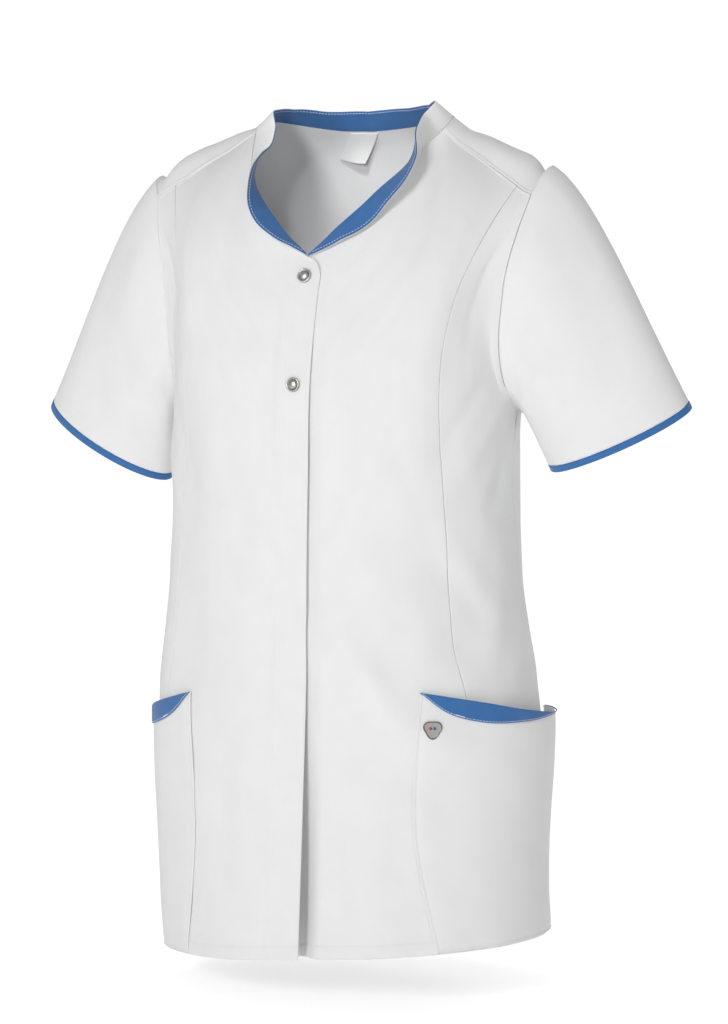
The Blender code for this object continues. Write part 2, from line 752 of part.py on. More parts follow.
def neckline(grids, normals):
    """Neck edge from the left front's point round the back to the right front's point."""
    left, right, back = grids["front_left_centre"], grids["front_right_centre"], grids["back"]
    first = slice(LAP_COLUMNS, LAP_COLUMNS + NECK_FRONT_COLUMNS + 1)
    last = slice(right.shape[1] - 1 - LAP_COLUMNS - NECK_FRONT_COLUMNS, right.shape[1] - LAP_COLUMNS)
    middle = back.shape[1] // 2
    across = slice(middle - NECK_BACK_COLUMNS + 1, middle + NECK_BACK_COLUMNS)

    def chain(pick):
        return np.vstack([pick("front_left_centre")[first], pick("back")[across],
                          pick("front_right_centre")[last]])

    edge = chain(lambda name: grids[name][-1])
    under = chain(lambda name: grids[name][-2])
    normal = chain(lambda name: normals[name][-1])
    for line in (edge, under, normal):
        line[0] += (line[1] - line[0]) * COLLAR_TIP_SET_BACK
        line[-1] += (line[-2] - line[-1]) * COLLAR_TIP_SET_BACK
    tangent = unit(np.gradient(edge, axis=0))
    leave = unit(np.cross(normal, tangent))
    leave *= np.sign(np.sum(leave * (edge - under), -1, keepdims=True))
    return edge, normal, leave


def collar_grids(grids, normals):
    """Middle surfaces of the white and the blue layer of the collar band."""
    edge, normal, leave = neckline(grids, normals)
    places = np.linspace(0, len(edge) - 1, COLLAR_COLUMNS + 1)
    edge, normal, leave = (
        np.stack([np.interp(places, range(len(line)), line[:, axis]) for axis in range(3)], 1)
        for line in (edge, normal, leave))
    normal, leave = unit(normal), unit(leave)
    run = lengths(edge)
    from_tip = np.minimum(run, run[-1] - run) / (run[-1] / 2)
    rolled = 1 - smooth_step((from_tip - COLLAR_ROLL_AT) / COLLAR_ROLL_SPREAD + 0.5)
    lean = np.zeros(len(run))
    for hand, most, at, spread in table(COLLAR_ROLL, *COLLAR_ROLL["columns"]):
        on_side = (run - run[-1] / 2) * hand < 0
        lean += on_side * most * (1 - smooth_step((from_tip - at) / spread + 0.5))
    lean = np.radians(lean)[:, None]
    taper = np.sin(np.minimum(from_tip / COLLAR_TAPER, 1.0) * math.pi / 2)
    width = COLLAR_BACK_WIDTH + (COLLAR_FRONT_WIDTH - COLLAR_BACK_WIDTH) * rolled
    width = COLLAR_TIP_WIDTH + (width - COLLAR_TIP_WIDTH) * taper
    grow = np.cos(lean) * leave + np.sin(lean) * normal
    outside = np.cos(lean) * normal - np.sin(lean) * leave
    half = (BAND_CLOTH + LAYER_GAP) / 2
    over_front = CLOTH / 2 + LAYER_GAP + BAND_CLOTH + half
    base = edge + leave * COLLAR_BASE_LIFT + normal * (lean / math.pi) * over_front
    steps = np.linspace(0, 1, 4)[:, None, None]
    middle = base + grow * width[:, None] * steps
    return {"collar_outer": middle + outside * half, "collar_facing": middle - outside * half}, outside


def add_collar(grids, normals):
    layers, outside = collar_grids(grids, normals)
    for name, finish in (("collar_outer", "white"), ("collar_facing", "blue")):
        grid = layers[name]
        facing = np.broadcast_to(outside, grid.shape)
        if np.sum(grid_normals(grid) * facing) < 0:
            grid = grid[:, ::-1]
            facing = facing[:, ::-1]
        add_cloth(name, grid, facing, BAND_CLOTH, finish)


# Pockets

def pocket_grid(row_shares, lift, most):
    """Points over the body at shares of the pocket's height, and how far they lift off it."""
    shares = np.linspace(0, 1, POCKET_COLUMNS + 1)
    mouth, stand_off = table_at(POCKET_MOUTH, "share", ("z", "stand_off"), shares).T
    low = HEM_LEVEL + POCKET_HEM_CLEARANCE
    grid = np.zeros((len(row_shares), len(shares), 3))
    for i, share in enumerate(shares):
        for j, up in enumerate(row_shares[:, i]):
            z = low + (mouth[i] - low) * up
            outline, run, marks = ring_stations(z)
            front_x = table_at(POCKET_EDGE, "z", ("x",), z)[0, 0]
            ahead = outline[:, 1] < 0
            start = np.interp(front_x, outline[ahead, 0], run[ahead])
            grid[j, i] = along(outline, [start + share * (marks[2] + POCKET_BACK_REACH - start)])[0]
    open_up = most * stand_off * smooth_step((row_shares - POCKET_OPENS_FROM) / (1 - POCKET_OPENS_FROM))
    return grid, open_up + lift


def add_pockets():
    lift = CLOTH / 2 + POCKET_GAP + BAND_CLOTH / 2
    rows = np.repeat(np.linspace(0, 1, POCKET_ROWS + 1)[:, None], POCKET_COLUMNS + 1, 1)
    shares = np.linspace(0, 1, POCKET_COLUMNS + 1)
    mouth, facing = table_at(POCKET_MOUTH, "share", ("z", "facing"), shares).T
    turn = FACING_DEPTH * np.maximum(facing, FACING_LEAST) / (mouth - HEM_LEVEL)
    facing_rows = 1 - turn * np.linspace(1, 0, 4)[:, None]
    for hand, sign in (("left", 1), ("right", -1)):
        for name, finish, shares_up, extra in (
                ("pocket_", "white", rows, 0.0),
                ("pocket_facing_", "blue", facing_rows, BAND_CLOTH + FACING_GAP)):
            grid, off = pocket_grid(shares_up, lift + extra, POCKET_STAND_OFF[hand])
            if sign < 0:
                grid, off = mirrored(grid), off[:, ::-1]
            body_normal = grid_normals(grid)
            off = off + fold_height(grid)
            surface = place(grid + body_normal * off[..., None])
            add_cloth(name + hand, surface, grid_normals(surface), BAND_CLOTH, finish)
            if name == "pocket_" and hand == "left":
                add_badge(surface)


def disc_mesh(name, outline, profile):
    """Solid with a given outline and a profile of share of the outline against height."""
    mesh = bpy.data.meshes.new(name)
    bm = bmesh.new()
    rings = [[bm.verts.new((x * share, y * share, height)) for x, y in outline] for share, height in profile]
    count = len(outline)
    for low, high in zip(rings, rings[1:]):
        for i in range(count):
            k = (i + 1) % count
            bm.faces.new((low[i], low[k], high[k], high[i]))
    bm.faces.new(rings[0][::-1])
    bm.faces.new(rings[-1])
    bmesh.ops.triangulate(bm, faces=bm.faces[:])
    bm.to_mesh(mesh)
    bm.free()
    return mesh


def seat(mesh, point, normal, gap):
    """Turns a mesh so that its Z runs along the normal, and sets it a gap above the point."""
    normal = unit(np.asarray(normal, float))
    side = unit(np.cross((0.0, 0.0, 1.0), normal))
    up = np.cross(normal, side)
    for vertex in mesh.vertices:
        x, y, z = vertex.co
        vertex.co = point + side * x + up * y + normal * (z + gap)


def add_badge(pocket):
    """Small rounded triangle on the left pocket's front corner, point down."""
    outline = []
    for angle in np.linspace(0, 2 * math.pi, 24, endpoint=False):
        radius = BADGE_SIZE / 2 * (1 - BADGE_CORNERS * math.cos(3 * (angle + math.pi / 2)))
        outline.append((radius * math.cos(angle), -radius * math.sin(angle)))
    outline = outline[::-1]
    profile = ((0.96, 0.0), (1.0, BADGE_HEIGHT * 0.4), (0.93, BADGE_HEIGHT), (0.80, BADGE_HEIGHT * 0.75))
    mesh = disc_mesh("badge", outline, profile)
    normals = grid_normals(pocket)
    row, column = POCKET_ROWS - 1, 1
    point = pocket[row, column] * (1 - BADGE_DROP) + pocket[row - 1, column] * BADGE_DROP
    normal = normals[row, column] * (1 - BADGE_DROP) + normals[row - 1, column] * BADGE_DROP
    seat(mesh, point, normal, BAND_CLOTH / 2 + BADGE_GAP)
    add_object("badge", mesh, "metal")


# Press stud caps and label

def add_snaps(grids, normals):
    """Domed caps on the lapping right front, over its centre line."""
    grid, normal = grids["front_right_centre"], normals["front_right_centre"]
    column = grid.shape[1] - 1 - LAP_COLUMNS
    heights = grid[:, column, 2]
    outline = [(SNAP_DIAMETER / 2 * math.cos(a), SNAP_DIAMETER / 2 * math.sin(a))
               for a in np.linspace(0, 2 * math.pi, 20, endpoint=False)]
    profile = ((0.94, 0.0), (1.0, 0.0007), (0.97, 0.0014), (0.80, 0.0017), (0.70, 0.0013),
               (0.55, 0.0021), (0.25, SNAP_HEIGHT))
    for number, level in enumerate(SNAP_LEVELS, 1):
        name = "snap_%d" % number
        point = np.array([np.interp(level, heights, grid[:, column, axis]) for axis in range(3)])
        facing = np.array([np.interp(level, heights, normal[:, column, axis]) for axis in range(3)])
        mesh = disc_mesh(name, outline, profile)
        seat(mesh, point, facing, CLOTH / 2 + SNAP_GAP)
        add_object(name, mesh, "metal")


def add_label(grids, normals):
    """Blank woven label hanging inside the back from the collar seam."""
    back, normal = grids["back"], normals["back"]
    middle = back.shape[1] // 2
    across = np.linspace(-0.5, 0.5, 5) * LABEL_SIZE[0]
    down = np.linspace(1, 0, 5)
    rows = []
    for drop in down:
        place_down = LABEL_TOP + drop * LABEL_SIZE[1]
        line, facing = [], []
        for column in range(middle + 6, middle - 7, -1):
            run = lengths(back[::-1, column])
            line.append([np.interp(place_down, run, back[::-1, column, axis]) for axis in range(3)])
            facing.append([np.interp(place_down, run, normal[::-1, column, axis]) for axis in range(3)])
        line, facing = np.array(line), np.array(facing)
        x = LABEL_CENTRE_X + across - LABEL_SLANT * drop
        point = np.stack([np.interp(x, line[:, 0], line[:, axis]) for axis in range(3)], 1)
        inward = -np.stack([np.interp(x, line[:, 0], facing[:, axis]) for axis in range(3)], 1)
        curl = LABEL_CURL * drop**2 * np.where(across > 0, 1.0, LABEL_CURL_OTHER_SIDE)
        off = CLOTH / 2 + 2 * LAYER_GAP + LABEL_CLOTH / 2 + curl
        rows.append(point + unit(inward) * off[:, None])
    grid = np.array(rows)
    add_cloth("neck_label", grid, grid_normals(grid), LABEL_CLOTH, "label")


def main():
    for item in list(bpy.data.objects):
        bpy.data.objects.remove(item, do_unlink=True)
    grids = build_grids()
    normals = shared_normals(grids)
    add_body(grids, normals)
    add_sleeves(grids, normals)
    add_collar(grids, normals)
    add_pockets()
    add_snaps(grids, normals)
    add_label(grids, normals)


main()
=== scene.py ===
"""Looks of the medical tunic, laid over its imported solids.

Every cloth piece is sewn up as it is in life: the panels first, then sleeves, bindings, collar,
pockets, fastening, label and badge, and last the stitching that holds them. Metres, +Z up,
front towards -Y, the wearer's left towards +X.
"""
import math

import bpy
import numpy as np
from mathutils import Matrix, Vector


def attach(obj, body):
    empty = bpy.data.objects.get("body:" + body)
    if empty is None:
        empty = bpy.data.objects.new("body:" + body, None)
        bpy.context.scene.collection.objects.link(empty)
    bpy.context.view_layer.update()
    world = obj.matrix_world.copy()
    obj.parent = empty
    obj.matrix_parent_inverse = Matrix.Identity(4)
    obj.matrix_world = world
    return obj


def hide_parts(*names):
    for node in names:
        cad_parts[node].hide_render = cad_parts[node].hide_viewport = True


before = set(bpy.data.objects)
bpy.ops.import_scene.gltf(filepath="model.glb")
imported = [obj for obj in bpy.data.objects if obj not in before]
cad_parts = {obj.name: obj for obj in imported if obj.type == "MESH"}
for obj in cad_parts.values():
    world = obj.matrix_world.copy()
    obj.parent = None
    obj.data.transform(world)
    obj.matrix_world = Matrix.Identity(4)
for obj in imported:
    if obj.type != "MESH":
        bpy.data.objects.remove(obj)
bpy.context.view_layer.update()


# Cut and stance of the body
# The tunic is cut from white poly-cotton in five panels: two fronts, two front sides and a back
# in one piece, which comes over the shoulders as a yoke. Each panel is a grid of points that runs
# from the hem up to the neckline, the yoke seam or the armhole.

CLOTH = 0.0009
SEAM_OPEN = 0.00015
SAME_POINT = 0.0006
FINE = 4
LAP = 0.016
PLACKET_WIDTH = 0.031
PLACKET_RISE = 0.0016
PLACKET_SLOPE = 0.006
UNDERLAP_REACH = 0.030
UNDERLAP_SLOPE = 0.012
UNDERLAP_DROP = 0.0013
TOP_LAYER_STEP = 0.0011
LAP_CORNER_DROP = 0.018
LAP_CORNER_FORWARD = 0.006
LAP_CORNER_ROUND = 0.98
CLOSURE_FADE = 0.030
HEM_RECESS = 0.018
HEM_RECESS_FROM = -0.47
HEM_RECESS_REACH = 0.036
HEM_RECESS_SLOPE = 0.026
HEM_LEVEL = -0.756
SWING_WIDTH = 0.060
ROWS = 24
ROW_CROWDING = 0.25
FAN_FROM = 0.20
EVEN_FROM = 0.40
EVEN_FADE = 0.20
EVEN_STEP = 0.45
EVEN_ROUNDS = 14
LAP_COLUMNS = 2
NECK_FRONT_COLUMNS = 8
NECK_BACK_COLUMNS = 8
YOKE_SHARES = (0.0, 0.21, 0.42, 0.62, 0.82, 1.0)
ARMHOLE_FRONT_COLUMNS = 8
ARMHOLE_BACK_COLUMNS = 12
ARMHOLE_TOP_COLUMNS = 2

# Level rings of the body below the armpit. square: 2 is an ellipse, more is boxier.
RING = dict(
    columns=("z", "half_width", "front", "back", "square", "princess_x", "seam_y"),
    rows=(
        (-0.273, 0.1655, 0.117, 0.090, 2.50, 0.128, -0.002),
        (-0.332, 0.1665, 0.118, 0.084, 2.45, 0.131, -0.010),
        (-0.392, 0.1695, 0.120, 0.076, 2.35, 0.135, -0.003),
        (-0.444, 0.1725, 0.121, 0.080, 2.30, 0.138, 0.001),
        (-0.490, 0.1780, 0.122, 0.098, 2.25, 0.142, 0.009),
        (-0.540, 0.1820, 0.124, 0.110, 2.20, 0.152, 0.014),
        (-0.640, 0.1835, 0.127, 0.116, 2.15, 0.155, 0.016),
        (-0.760, 0.1850, 0.130, 0.117, 2.10, 0.158, 0.016),
    ),
)

# How the worn tunic hangs askew: sideways shift, rise per metre towards the wearer's left, swing
# of the front opening, and drop of the wearer's left shoulder between the neck and the armhole
STANCE = dict(
    columns=("z", "sway", "tilt", "swing", "drop"),
    rows=(
        (-0.760, 0.0055, 0.085, -0.0140, 0.0),
        (-0.620, 0.0010, 0.062, -0.0055, 0.0),
        (-0.520, -0.0015, 0.045, -0.0010, 0.0),
        (-0.420, -0.0030, 0.015, 0.0, 0.0),
        (-0.273, -0.0025, 0.0, 0.0, 0.0),
        (-0.200, -0.0015, -0.002, 0.0, 0.0),
        (-0.100, 0.0, -0.004, 0.0, 0.008),
        (0.020, 0.0, -0.004, 0.0, 0.008),
    ),
)
DROP_FROM = 0.085
DROP_TO = 0.205
DROP_SLOPE = 0.028

# Seams above the armpit, on the wearer's left
NECK_SEAM = dict(
    columns=("x", "y", "z"),
    rows=(
        (0.0000, -0.0905, -0.1300),
        (0.0174, -0.0889, -0.1150),
        (0.0352, -0.0829, -0.0975),
        (0.0515, -0.0753, -0.0817),
        (0.0647, -0.0665, -0.0670),
        (0.0755, -0.0550, -0.0534),
        (0.0823, -0.0400, -0.0385),
        (0.0875, -0.0280, -0.0270),
        (0.0950, -0.0077, -0.0107),
        (0.0966, 0.0078, 0.0000),
        (0.0800, 0.0340, 0.0000),
        (0.0460, 0.0450, -0.0050),
        (0.0000, 0.0480, -0.0085),
    ),
)
NECK_FRONT_ROWS = 9
YOKE_SEAM = dict(
    columns=("x", "y", "z"),
    rows=(
        (0.0950, -0.0077, -0.0107),
        (0.1160, -0.0085, -0.0230),
        (0.1390, -0.0125, -0.0370),
        (0.1650, -0.0200, -0.0535),
        (0.1885, -0.0283, -0.0690),
    ),
)
ARMHOLE_FRONT = dict(
    columns=("x", "y", "z"),
    rows=(
        (0.1885, -0.0283, -0.0690),
        (0.1799, -0.0420, -0.1046),
        (0.1723, -0.0462, -0.1377),
        (0.1680, -0.0462, -0.1741),
        (0.1655, -0.0425, -0.2150),
        (0.1655, -0.0280, -0.2450),
        (0.1665, -0.0020, -0.2640),
    ),
)
ARMHOLE_BACK = dict(
    columns=("x", "y", "z"),
    rows=(
        (0.1665, -0.0020, -0.2640),
        (0.1665, 0.0270, -0.2480),
        (0.1680, 0.0430, -0.2150),
        (0.1710, 0.0500, -0.1750),
        (0.1770, 0.0470, -0.1300),
        (0.1860, 0.0350, -0.0850),
        (0.1955, 0.0160, -0.0555),
        (0.1990, 0.0000, -0.0475),
        (0.1965, -0.0150, -0.0530),
        (0.1885, -0.0283, -0.0690),
    ),
)

# Directions in which the front columns reach their top, by column station
FRONT_TOP = dict(
    columns=("station", "x", "y", "z", "reach"),
    rows=(
        ("lap", 0.00, 0.24, 0.97, 0.9),
        ("centre", 0.00, 0.27, 0.96, 0.9),
        ("neck_middle", -0.12, 0.45, 0.88, 1.0),
        ("yoke_neck", -0.43, 0.62, 0.66, 1.25),
        ("princess", 0.30, 0.62, 0.72, 1.2),
        ("yoke_armhole", 0.55, 0.45, 0.70, 1.1),
        ("armhole_middle", 0.50, 0.25, 0.83, 1.0),
        ("side", 0.06, 0.02, 1.00, 1.0),
    ),
)

# Line behind the armhole, the shoulder and the neck that the back columns pass, by column share:
# 0 side seam, 1 shoulder point, 2 yoke seam at the armhole, 3 yoke seam at the neck, 4 centre back
BACK_PASS = dict(
    columns=("share", "x", "y", "z"),
    rows=(
        (0.00, 0.1662, -0.0015, -0.2750),
        (0.25, 0.1605, 0.0300, -0.2520),
        (0.50, 0.1565, 0.0500, -0.2150),
        (0.75, 0.1600, 0.0570, -0.1650),
        (0.90, 0.1670, 0.0510, -0.1150),
        (1.00, 0.1780, 0.0400, -0.0740),
        (1.50, 0.1850, 0.0280, -0.0480),
        (2.00, 0.1810, 0.0210, -0.0330),
        (2.50, 0.1560, 0.0240, -0.0205),
        (3.00, 0.1290, 0.0300, -0.0120),
        (3.20, 0.1140, 0.0380, -0.0090),
        (3.50, 0.0790, 0.0570, -0.0150),
        (3.75, 0.0420, 0.0610, -0.0230),
        (4.00, 0.0000, 0.0610, -0.0260),
    ),
)
BACK_PASS_PULL = 0.7

# Directions in which the sleeve leaves the armhole, from its top round to the armpit
SLEEVE_START = dict(
    columns=("share", "out", "round", "down"),
    rows=(
        (0.0, 0.76, 0.00, -0.58),
        (0.35, 0.74, 0.22, -0.62),
        (0.7, 0.74, 0.12, -0.64),
        (1.0, 0.88, 0.00, -0.45),
    ),
)

# Largest soft folds. around: degrees from the front centre towards the wearer's left; width: metres
# on a body of FOLD_RADIUS. A fold fades in and out over these shares of its length.
FOLD_RADIUS = 0.17
FOLD_FADE_IN = 0.35
FOLD_FADE_OUT = 0.25
FOLDS = dict(
    columns=("around", "lean", "high", "low", "width", "depth"),
    rows=(
        (-52, 10, -0.20, -0.56, 0.034, -0.0045),
        (-70, -6, -0.40, -0.80, 0.030, 0.0040),
        (-24, -8, -0.46, -0.80, 0.034, 0.0040),
        (36, 60, -0.44, -0.60, 0.030, 0.0035),
        (22, 0, -0.16, -0.33, 0.024, 0.0025),
        (58, 22, -0.36, -0.52, 0.028, -0.0045),
        (128, 14, -0.30, -0.80, 0.036, -0.0050),
        (150, 6, -0.34, -0.82, 0.034, 0.0060),
        (176, -5, -0.30, -0.82, 0.034, -0.0050),
        (-156, 4, -0.34, -0.82, 0.036, 0.0060),
        (-130, -12, -0.30, -0.80, 0.034, -0.0045),
    ),
)


def table(data, *names):
    """The named columns of a table as one array, a row for each of its rows."""
    picks = [data["columns"].index(name) for name in names]
    return np.array([[row[pick] for pick in picks] for row in data["rows"]], float)


def hermite(p0, t0, p1, t1, share):
    """Points of a curve with a given place and direction at each end."""
    s = np.asarray(share)[..., None]
    return ((2 * s**3 - 3 * s**2 + 1) * p0 + (s**3 - 2 * s**2 + s) * t0
            + (-2 * s**3 + 3 * s**2) * p1 + (s**3 - s**2) * t1)


def through(stations, values, at):
    """Smooth curve through rows of values given at rising stations, read at other stations."""
    stations = np.asarray(stations, float)
    values = np.asarray(values, float)
    steps = np.diff(stations)
    slopes = np.diff(values, axis=0) / steps[:, None]
    tangents = np.vstack([slopes[:1], (slopes[:-1] * steps[1:, None] + slopes[1:] * steps[:-1, None])
                          / (steps[1:] + steps[:-1])[:, None], slopes[-1:]])
    at = np.clip(np.atleast_1d(at), stations[0], stations[-1])
    cell = np.clip(np.searchsorted(stations, at, side="right") - 1, 0, len(steps) - 1)
    width = steps[cell][:, None]
    share = (at - stations[cell]) / steps[cell]
    return hermite(values[cell], tangents[cell] * width, values[cell + 1], tangents[cell + 1] * width,
                   share)


def table_at(data, key, names, at):
    """The named columns of a table, read smoothly at other values of its key column."""
    rows = table(data, key, *names)
    rows = rows[np.argsort(rows[:, 0])]
    return through(rows[:, 0], rows[:, 1:], at)


def lengths(points):
    """Distance of each point of a polyline from its first one."""
    return np.concatenate([[0.0], np.cumsum(np.linalg.norm(np.diff(points, axis=0), axis=1))])


def along(points, places):
    """Points at the given distances along a polyline."""
    run = lengths(points)
    return np.stack([np.interp(places, run, points[:, axis]) for axis in range(3)], 1)


def seam_points(rows, shares):
    """Points at the given shares of a smooth seam's length."""
    rows = np.asarray(rows, float)
    run = lengths(rows)
    dense = through(run, rows, np.linspace(0, run[-1], 400))
    return along(dense, np.asarray(shares) * lengths(dense)[-1])


def unit(vectors):
    return vectors / np.linalg.norm(vectors, axis=-1, keepdims=True)


def arc(start, direction, end, count):
    """Circular arc between two points, leaving the first one in the given direction."""
    chord = end - start
    along_chord = unit(chord)
    turn = math.acos(np.clip(np.dot(direction, along_chord), -1, 0.99999))
    aside = unit(direction - np.dot(direction, along_chord) * along_chord)
    radius = np.linalg.norm(chord) / (2 * math.sin(turn))
    left = turn - 2 * turn * np.linspace(0, 1, count)[:, None]
    return (start + radius * ((math.sin(turn) - np.sin(left)) * along_chord
                              + (np.cos(left) - math.cos(turn)) * aside))


def smooth_step(x):
    x = np.clip(x, 0.0, 1.0)
    return x * x * (3 - 2 * x)


def ring_outline(z):
    """Half of the level ring at height z, from the front centre to the back centre."""
    width, front, back, square = table_at(RING, "z", ("half_width", "front", "back", "square"), z)[0]
    angle = np.linspace(0, math.pi, 241)
    side = np.abs(np.sin(angle)) / width
    ahead = np.cos(angle) > 0
    depth = np.where(ahead, front, back)
    power = np.where(ahead, square, 2.0)
    radius = (side**power + (np.abs(np.cos(angle)) / depth)**power) ** (-1 / power)
    return np.stack([radius * np.sin(angle), -radius * np.cos(angle), np.full_like(angle, z)], 1)


def ring_stations(z):
    """Distances along the ring of the front centre, the princess seam, the side seam and the back."""
    outline = ring_outline(z)
    run = lengths(outline)
    princess_x, seam_y = table_at(RING, "z", ("princess_x", "seam_y"), z)[0]
    front_part = outline[:, 1] < 0
    princess = np.interp(princess_x, outline[front_part, 0], run[front_part])
    side = np.interp(seam_y, outline[:, 1], run)
    return outline, run, (0.0, princess, side, run[-1])


def ring_points(z, stations):
    """Points of the ring at u stations: 0 front centre, 1 princess, 2 side seam, 3 back centre.

    A negative station is a distance in metres past the front centre.
    """
    outline, _, marks = ring_stations(z)
    stations = np.asarray(stations, float)
    places = np.where(stations < 0, -stations, np.interp(stations, (0, 1, 2, 3), marks))
    points = along(outline, places)
    points[:, 0] *= np.where(stations < 0, -1, 1)
    return points


def seam_set(times):
    """Seams above the armpit, each with its number of cells multiplied."""
    yoke = np.interp(np.linspace(0, len(YOKE_SHARES) - 1, (len(YOKE_SHARES) - 1) * times + 1),
                     range(len(YOKE_SHARES)), YOKE_SHARES)
    neck = table(NECK_SEAM, "x", "y", "z")
    back = np.linspace(1, 0, LAP_COLUMNS * times + 1)[:-1]

    def even(rows, columns):
        return seam_points(rows, np.linspace(0, 1, columns * times + 1))

    corner = LAP_CORNER_DROP * (1 - np.sqrt(1 - LAP_CORNER_ROUND * back**2))
    return {
        "lap": np.stack([-LAP * back, neck[0, 1] - LAP_CORNER_FORWARD * back**2, neck[0, 2] - corner], 1),
        "neck_front": even(neck[:NECK_FRONT_ROWS], NECK_FRONT_COLUMNS),
        "neck_back": even(neck[NECK_FRONT_ROWS - 1:], NECK_BACK_COLUMNS),
        "yoke": seam_points(table(YOKE_SEAM, "x", "y", "z"), yoke),
        "arm_front": even(table(ARMHOLE_FRONT, "x", "y", "z"), ARMHOLE_FRONT_COLUMNS),
        "arm_back": even(table(ARMHOLE_BACK, "x", "y", "z"), ARMHOLE_BACK_COLUMNS),
    }


def front_top(seams):
    """Upper edge of a front: lap, neckline, yoke seam and armhole."""
    return np.vstack([seams["lap"], seams["neck_front"], seams["yoke"][1:], seams["arm_front"][1:]])


def back_top(seams):
    """Upper edge of half the back: armhole, yoke seam and neckline."""
    return np.vstack([seams["arm_back"], seams["yoke"][::-1][1:], seams["neck_back"][1:]])


def column_stations(start, end, count):
    return list(np.linspace(start, end, count + 1))


def columns_to_top(stations, tops, bend):
    """Dense columns of points from the hem to their tops, one for each station."""
    levels = np.linspace(HEM_LEVEL, RING["rows"][0][0], 48)
    rings = np.array([ring_points(level, stations) for level in levels])
    return [np.vstack([rings[:-1, i], bend(rings[-2:, i], tops[i], i)]) for i in range(len(tops))]


def resample(columns, side_length):
    """Rows that lie level at the hem, fan out above the waist and draw together at the tops."""
    share = np.linspace(0, 1, ROWS + 1)
    level = share + ROW_CROWDING * share * (1 - share)
    fan = smooth_step((share - FAN_FROM) / (1 - FAN_FROM))
    grid = []
    for column in columns:
        extra = lengths(column)[-1] - side_length
        grid.append(along(column, side_length * level + extra * fan))
    return np.array(grid).transpose(1, 0, 2)


def evened(grid):
    """The grid with its inner points above the waist evened out; its rim stays."""
    hold = smooth_step((np.linspace(0, 1, grid.shape[0])[1:-1, None, None] - EVEN_FROM) / EVEN_FADE)
    grid = grid.copy()
    for _ in range(EVEN_ROUNDS):
        bend = np.zeros_like(grid)
        bend[1:-1, 1:-1] = neighbour_mean(grid) - grid[1:-1, 1:-1]
        grid[1:-1, 1:-1] -= EVEN_STEP * hold * (neighbour_mean(bend) - bend[1:-1, 1:-1])
    return grid


def neighbour_mean(grid):
    """Mean of the four neighbours of each inner point."""
    return (grid[:-2, 1:-1] + grid[2:, 1:-1] + grid[1:-1, :-2] + grid[1:-1, 2:]) / 4


def front_columns(tops):
    """Columns of one front, from the lap to the side seam, on the wearer's left."""
    share = np.linspace(1, 0, LAP_COLUMNS + 1)[:-1]
    centre_columns = NECK_FRONT_COLUMNS + len(YOKE_SHARES) - 2
    stations = list(-LAP * share) + column_stations(0, 1, centre_columns)
    stations += column_stations(1, 2, ARMHOLE_FRONT_COLUMNS + 1)[1:]
    marks = (0, LAP_COLUMNS, LAP_COLUMNS + 5, LAP_COLUMNS + NECK_FRONT_COLUMNS,
             LAP_COLUMNS + centre_columns, LAP_COLUMNS + centre_columns + 1,
             LAP_COLUMNS + centre_columns + 5, LAP_COLUMNS + centre_columns + 1 + ARMHOLE_FRONT_COLUMNS)
    ends = through(marks, table(FRONT_TOP, "x", "y", "z", "reach"), np.arange(len(tops)))

    def bend(ring_pair, top, i):
        base = ring_pair[1]
        reach = np.linalg.norm(top - base)
        leave = unit(ring_pair[1] - ring_pair[0]) * reach
        return hermite(base, leave, top, unit(ends[i, :3]) * reach * ends[i, 3], np.linspace(0, 1, 40))

    return columns_to_top(stations, tops, bend), LAP_COLUMNS + centre_columns


def back_columns(tops):
    """Columns of half the back, from the side seam to the centre back, on the wearer's left."""
    stations = column_stations(2, 3, len(tops) - 1)
    marks = np.cumsum([0, ARMHOLE_BACK_COLUMNS - ARMHOLE_TOP_COLUMNS, ARMHOLE_TOP_COLUMNS,
                       len(YOKE_SHARES) - 1, NECK_BACK_COLUMNS])
    shares = np.interp(np.arange(len(tops)), marks, range(len(marks)))
    passes = table_at(BACK_PASS, "share", ("x", "y", "z"), shares)

    def bend(ring_pair, top, i):
        base, behind = ring_pair[1], passes[i]
        rise = np.linalg.norm(behind - base)
        leave = unit(ring_pair[1] - ring_pair[0]) * rise
        cross = unit(unit(behind - base) + unit(top - behind))
        lower = hermite(base, leave, behind, cross * rise * BACK_PASS_PULL, np.linspace(0, 1, 36))
        return np.vstack([lower, arc(behind, cross, top, 16)[1:]])

    return columns_to_top(stations, tops, bend)


def place(points):
    """The stance of the worn tunic: shifted sideways and tilted, one shoulder a little lower."""
    values = table_at(STANCE, "z", ("sway", "tilt", "swing", "drop"), points[..., 2].ravel())
    sway, tilt, swing, drop = values.T.reshape((4,) + points.shape[:-1])
    near_opening = np.exp(-(points[..., 0] / SWING_WIDTH)**2) * (points[..., 1] < 0)
    on_shoulder = (smooth_step((points[..., 0] - DROP_FROM) / DROP_SLOPE)
                   * smooth_step((DROP_TO - points[..., 0]) / DROP_SLOPE))
    out = points.copy()
    out[..., 0] += sway + swing * near_opening
    out[..., 2] += points[..., 0] * tilt - drop * on_shoulder
    return out


def fold_height(points):
    """How far the soft folds push the body cloth outwards."""
    around = np.degrees(np.arctan2(points[..., 0], -points[..., 1]))
    push = np.zeros(points.shape[:-1])
    for middle, lean, high, low, width, depth in table(FOLDS, *FOLDS["columns"]):
        down = (high - points[..., 2]) / (high - low)
        centre = middle + lean * (down - 0.5)
        apart = (around - centre + 180) % 360 - 180
        across = np.radians(apart) * FOLD_RADIUS / width
        fade = smooth_step(down / FOLD_FADE_IN) * smooth_step((1 - down) / FOLD_FADE_OUT)
        push += depth * np.exp(-across**2) * fade
    return push


